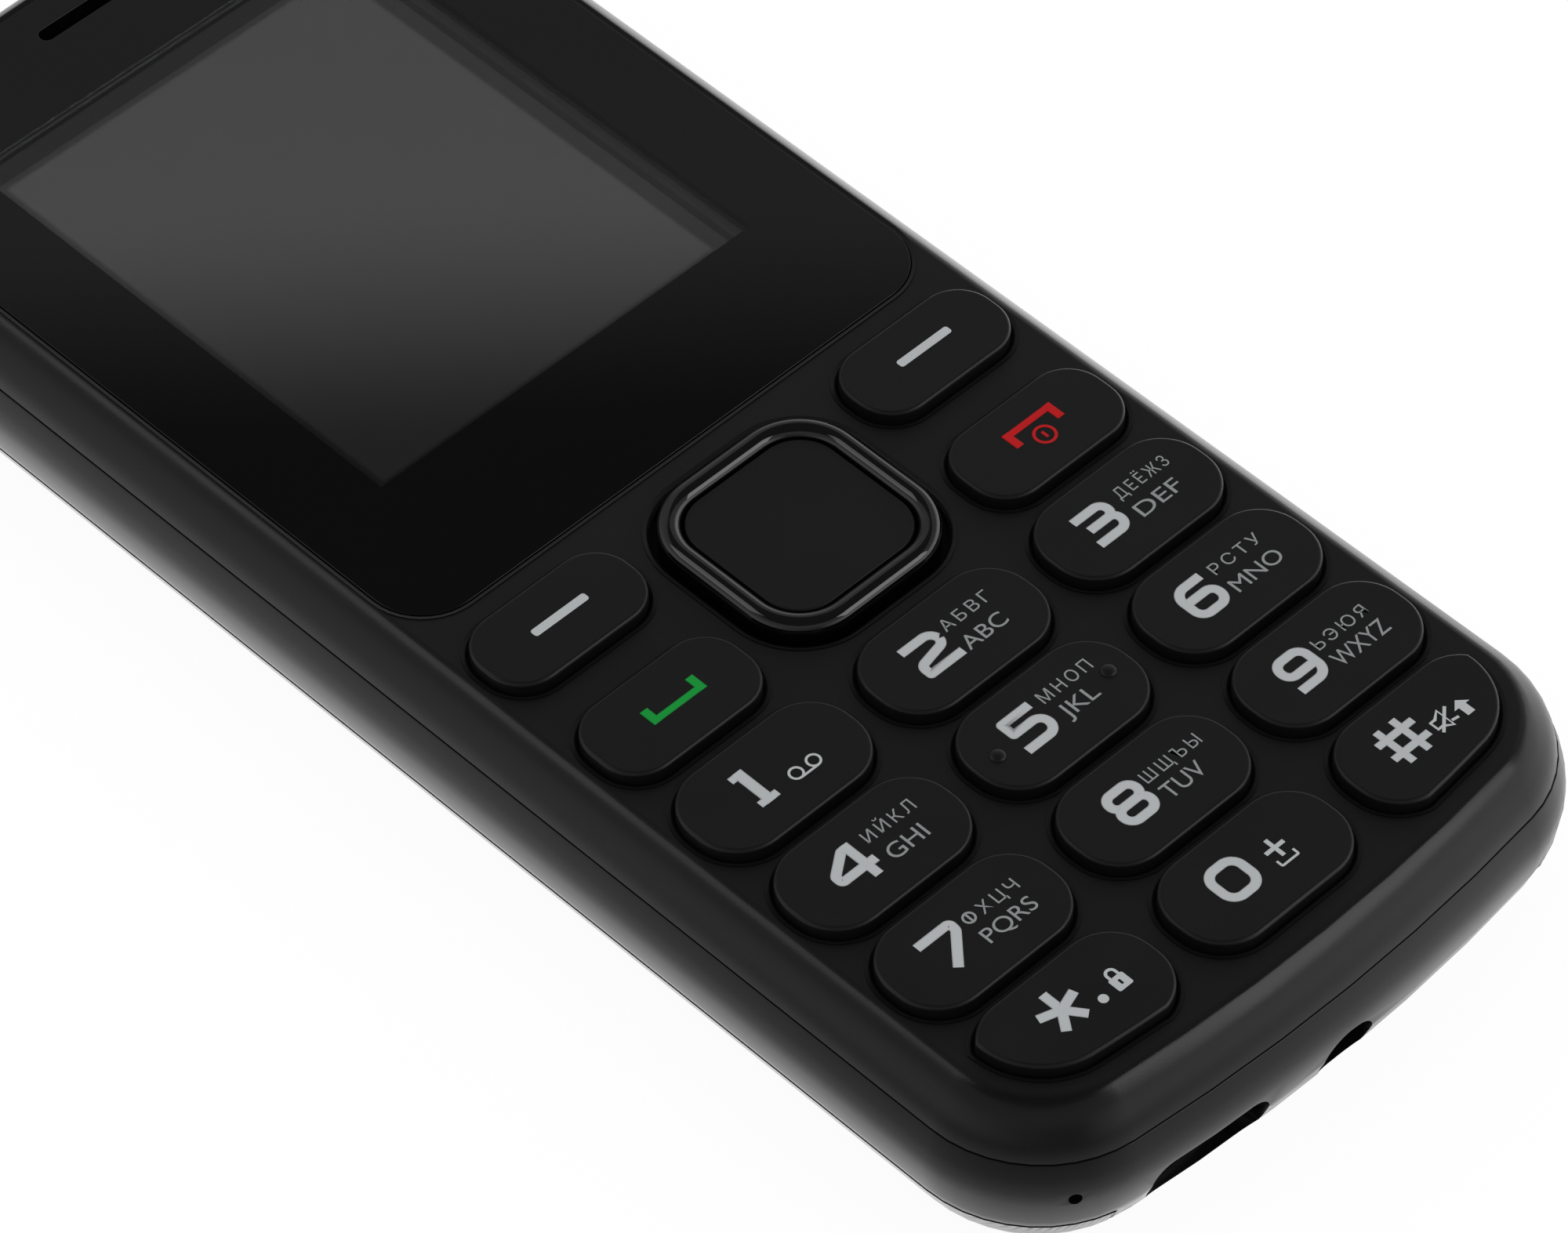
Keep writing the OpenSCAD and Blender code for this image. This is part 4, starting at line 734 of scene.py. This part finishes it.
studio_side = studio_side_group()
table_white = bpy.data.materials.new("white_table")
table_white.use_nodes = True
table_tree = table_white.node_tree
table_shader = table_tree.nodes["Principled BSDF"]
table_shader.inputs["Base Color"].default_value = TABLE_WHITE
table_shader.inputs["Roughness"].default_value = TABLE_ROUGH
table_shader.inputs["Specular IOR Level"].default_value = 0
table_ray = shading_step(table_tree, "LightPath").outputs
table_spot = shading_step(table_tree, "TexCoord").outputs["Object"]
table_away = vector_step(table_tree, "NORMALIZE", table_spot)
table_side = shading_step(table_tree, "Group", {"Direction": table_away}, node_tree=studio_side)
table_along = vector_step(table_tree, "DOT_PRODUCT", table_away, TABLE_BEHIND)
table_behind = number_step(table_tree, "MAXIMUM", table_along, 0)
table_far = number_step(table_tree, "MULTIPLY_ADD", table_behind, TABLE_BACK, table_side.outputs["Level"])
table_reach = vector_step(table_tree, "ABSOLUTE", table_spot)
table_beyond = vector_step(table_tree, "SUBTRACT", table_reach, (TABLE_CORE[0] * MM, TABLE_CORE[1] * MM, 0))
table_gap = vector_step(table_tree, "LENGTH", vector_step(table_tree, "MAXIMUM", table_beyond, (0, 0, 0)))
table_fade = number_step(table_tree, "MULTIPLY_ADD", table_gap, -1 / (TABLE_FADE * MM),
                         TABLE_CORE_R / TABLE_FADE)
table_close = number_step(table_tree, "MINIMUM", number_step(table_tree, "EXPONENT", table_fade), 1)
table_across = shading_step(table_tree, "SeparateXYZ", {0: table_spot}).outputs["X"]
table_near = ramp_step(table_tree, table_across, TABLE_TURN[0] * MM, TABLE_TURN[1] * MM, *TABLE_NEAR)
table_level = shading_step(table_tree, "Mix", {"Factor": table_close, "A": table_far, "B": table_near})
table_shown = shading_step(table_tree, "Mix", {"Factor": table_ray["Is Camera Ray"], "B": TABLE_SEEN,
                                               "A": table_level.outputs["Result"]})
table_glow = shading_step(table_tree, "Emission", {"Strength": table_shown.outputs["Result"]})
table_seen = number_step(table_tree, "MULTIPLY_ADD", table_ray["Is Camera Ray"], TABLE_GLOW,
                         table_ray["Is Glossy Ray"])
table_top = shading_step(table_tree, "MixShader", {"Fac": table_seen, 1: table_shader.outputs[0],
                                                   2: table_glow.outputs[0]})
table_under = shading_step(table_tree, "NewGeometry").outputs["Backfacing"]
table_through = shading_step(table_tree, "BsdfTransparent")
table_one_way = shading_step(table_tree, "MixShader", {"Fac": table_under, 1: table_top.outputs[0],
                                                       2: table_through.outputs[0]})
table_tree.links.new(table_one_way.outputs[0], table_tree.nodes["Material Output"].inputs["Surface"])
bm = bmesh.new()
bmesh.ops.create_grid(bm, x_segments=1, y_segments=1, size=TABLE_SIZE * MM)
bmesh.ops.translate(bm, vec=(0, 0, -TABLE_GAP * MM), verts=bm.verts)
table = in_scene("table", mesh_from(bm, "table"))
table.data.materials.append(table_white)

world = bpy.data.worlds.new("studio")
world.use_nodes = True
bpy.context.scene.world = world
sky_tree = world.node_tree
sky_ray = shading_step(sky_tree, "LightPath").outputs
sky_direction = shading_step(sky_tree, "TexCoord").outputs["Generated"]
sky_height = shading_step(sky_tree, "SeparateXYZ", {0: sky_direction}).outputs["Z"]
sky_ramp = shading_step(sky_tree, "ValToRGB", {"Fac": sky_height})
sky_stops = sky_ramp.color_ramp.elements
for place, _ in SKY_STOPS[1:-1]:
    sky_stops.new(place)
for stop, (place, level) in zip(sky_stops, SKY_STOPS):
    stop.position = place
    stop.color = (level, level, level, 1)
sky_side = shading_step(sky_tree, "Group", {"Direction": sky_direction}, node_tree=studio_side)
sky_overhead = ramp_step(sky_tree, sky_height, *SKY_TURN)
sky_level = shading_step(sky_tree, "Mix", {"Factor": sky_overhead, "A": sky_side.outputs["Level"],
                                           "B": sky_ramp.outputs["Color"]}, data_type="RGBA")
sky_mirrored = number_step(sky_tree, "MAXIMUM", sky_ray["Is Glossy Ray"], sky_ray["Is Transmission Ray"])
sky_lit = shading_step(sky_tree, "Mix", {"Factor": sky_mirrored, "A": SKY_SOFT,
                                         "B": sky_level.outputs["Result"]}, data_type="RGBA")
sky_shown = shading_step(sky_tree, "Mix", {"Factor": sky_ray["Is Camera Ray"], "A": sky_lit.outputs["Result"],
                                           "B": SKY_WHITE}, data_type="RGBA")
sky_tree.links.new(sky_shown.outputs["Result"], sky_tree.nodes["Background"].inputs["Color"])

for name, place, power in LAMPS:
    lamp = bpy.data.lights.new(name, "AREA")
    lamp.size = LAMP_SIZE * MM
    lamp.energy = power
    softbox = in_scene(name, lamp)
    softbox.location = Vector(place) * MM
    softbox.rotation_euler = (-softbox.location).to_track_quat("-Z", "Y").to_euler()

camera = bpy.data.cameras.new("camera")
camera.sensor_width = CAMERA_SENSOR
camera.lens = CAMERA_LENS
camera.clip_end = CAMERA_REACH * MM
tripod = in_scene("camera", camera)
tripod.location = Vector(CAMERA_AT) * MM
tripod.rotation_euler = (Vector(CAMERA_AIM) * MM - tripod.location).to_track_quat("-Z", "Y").to_euler()
bpy.context.scene.camera = tripod
bpy.context.scene.view_settings.view_transform = "Standard"
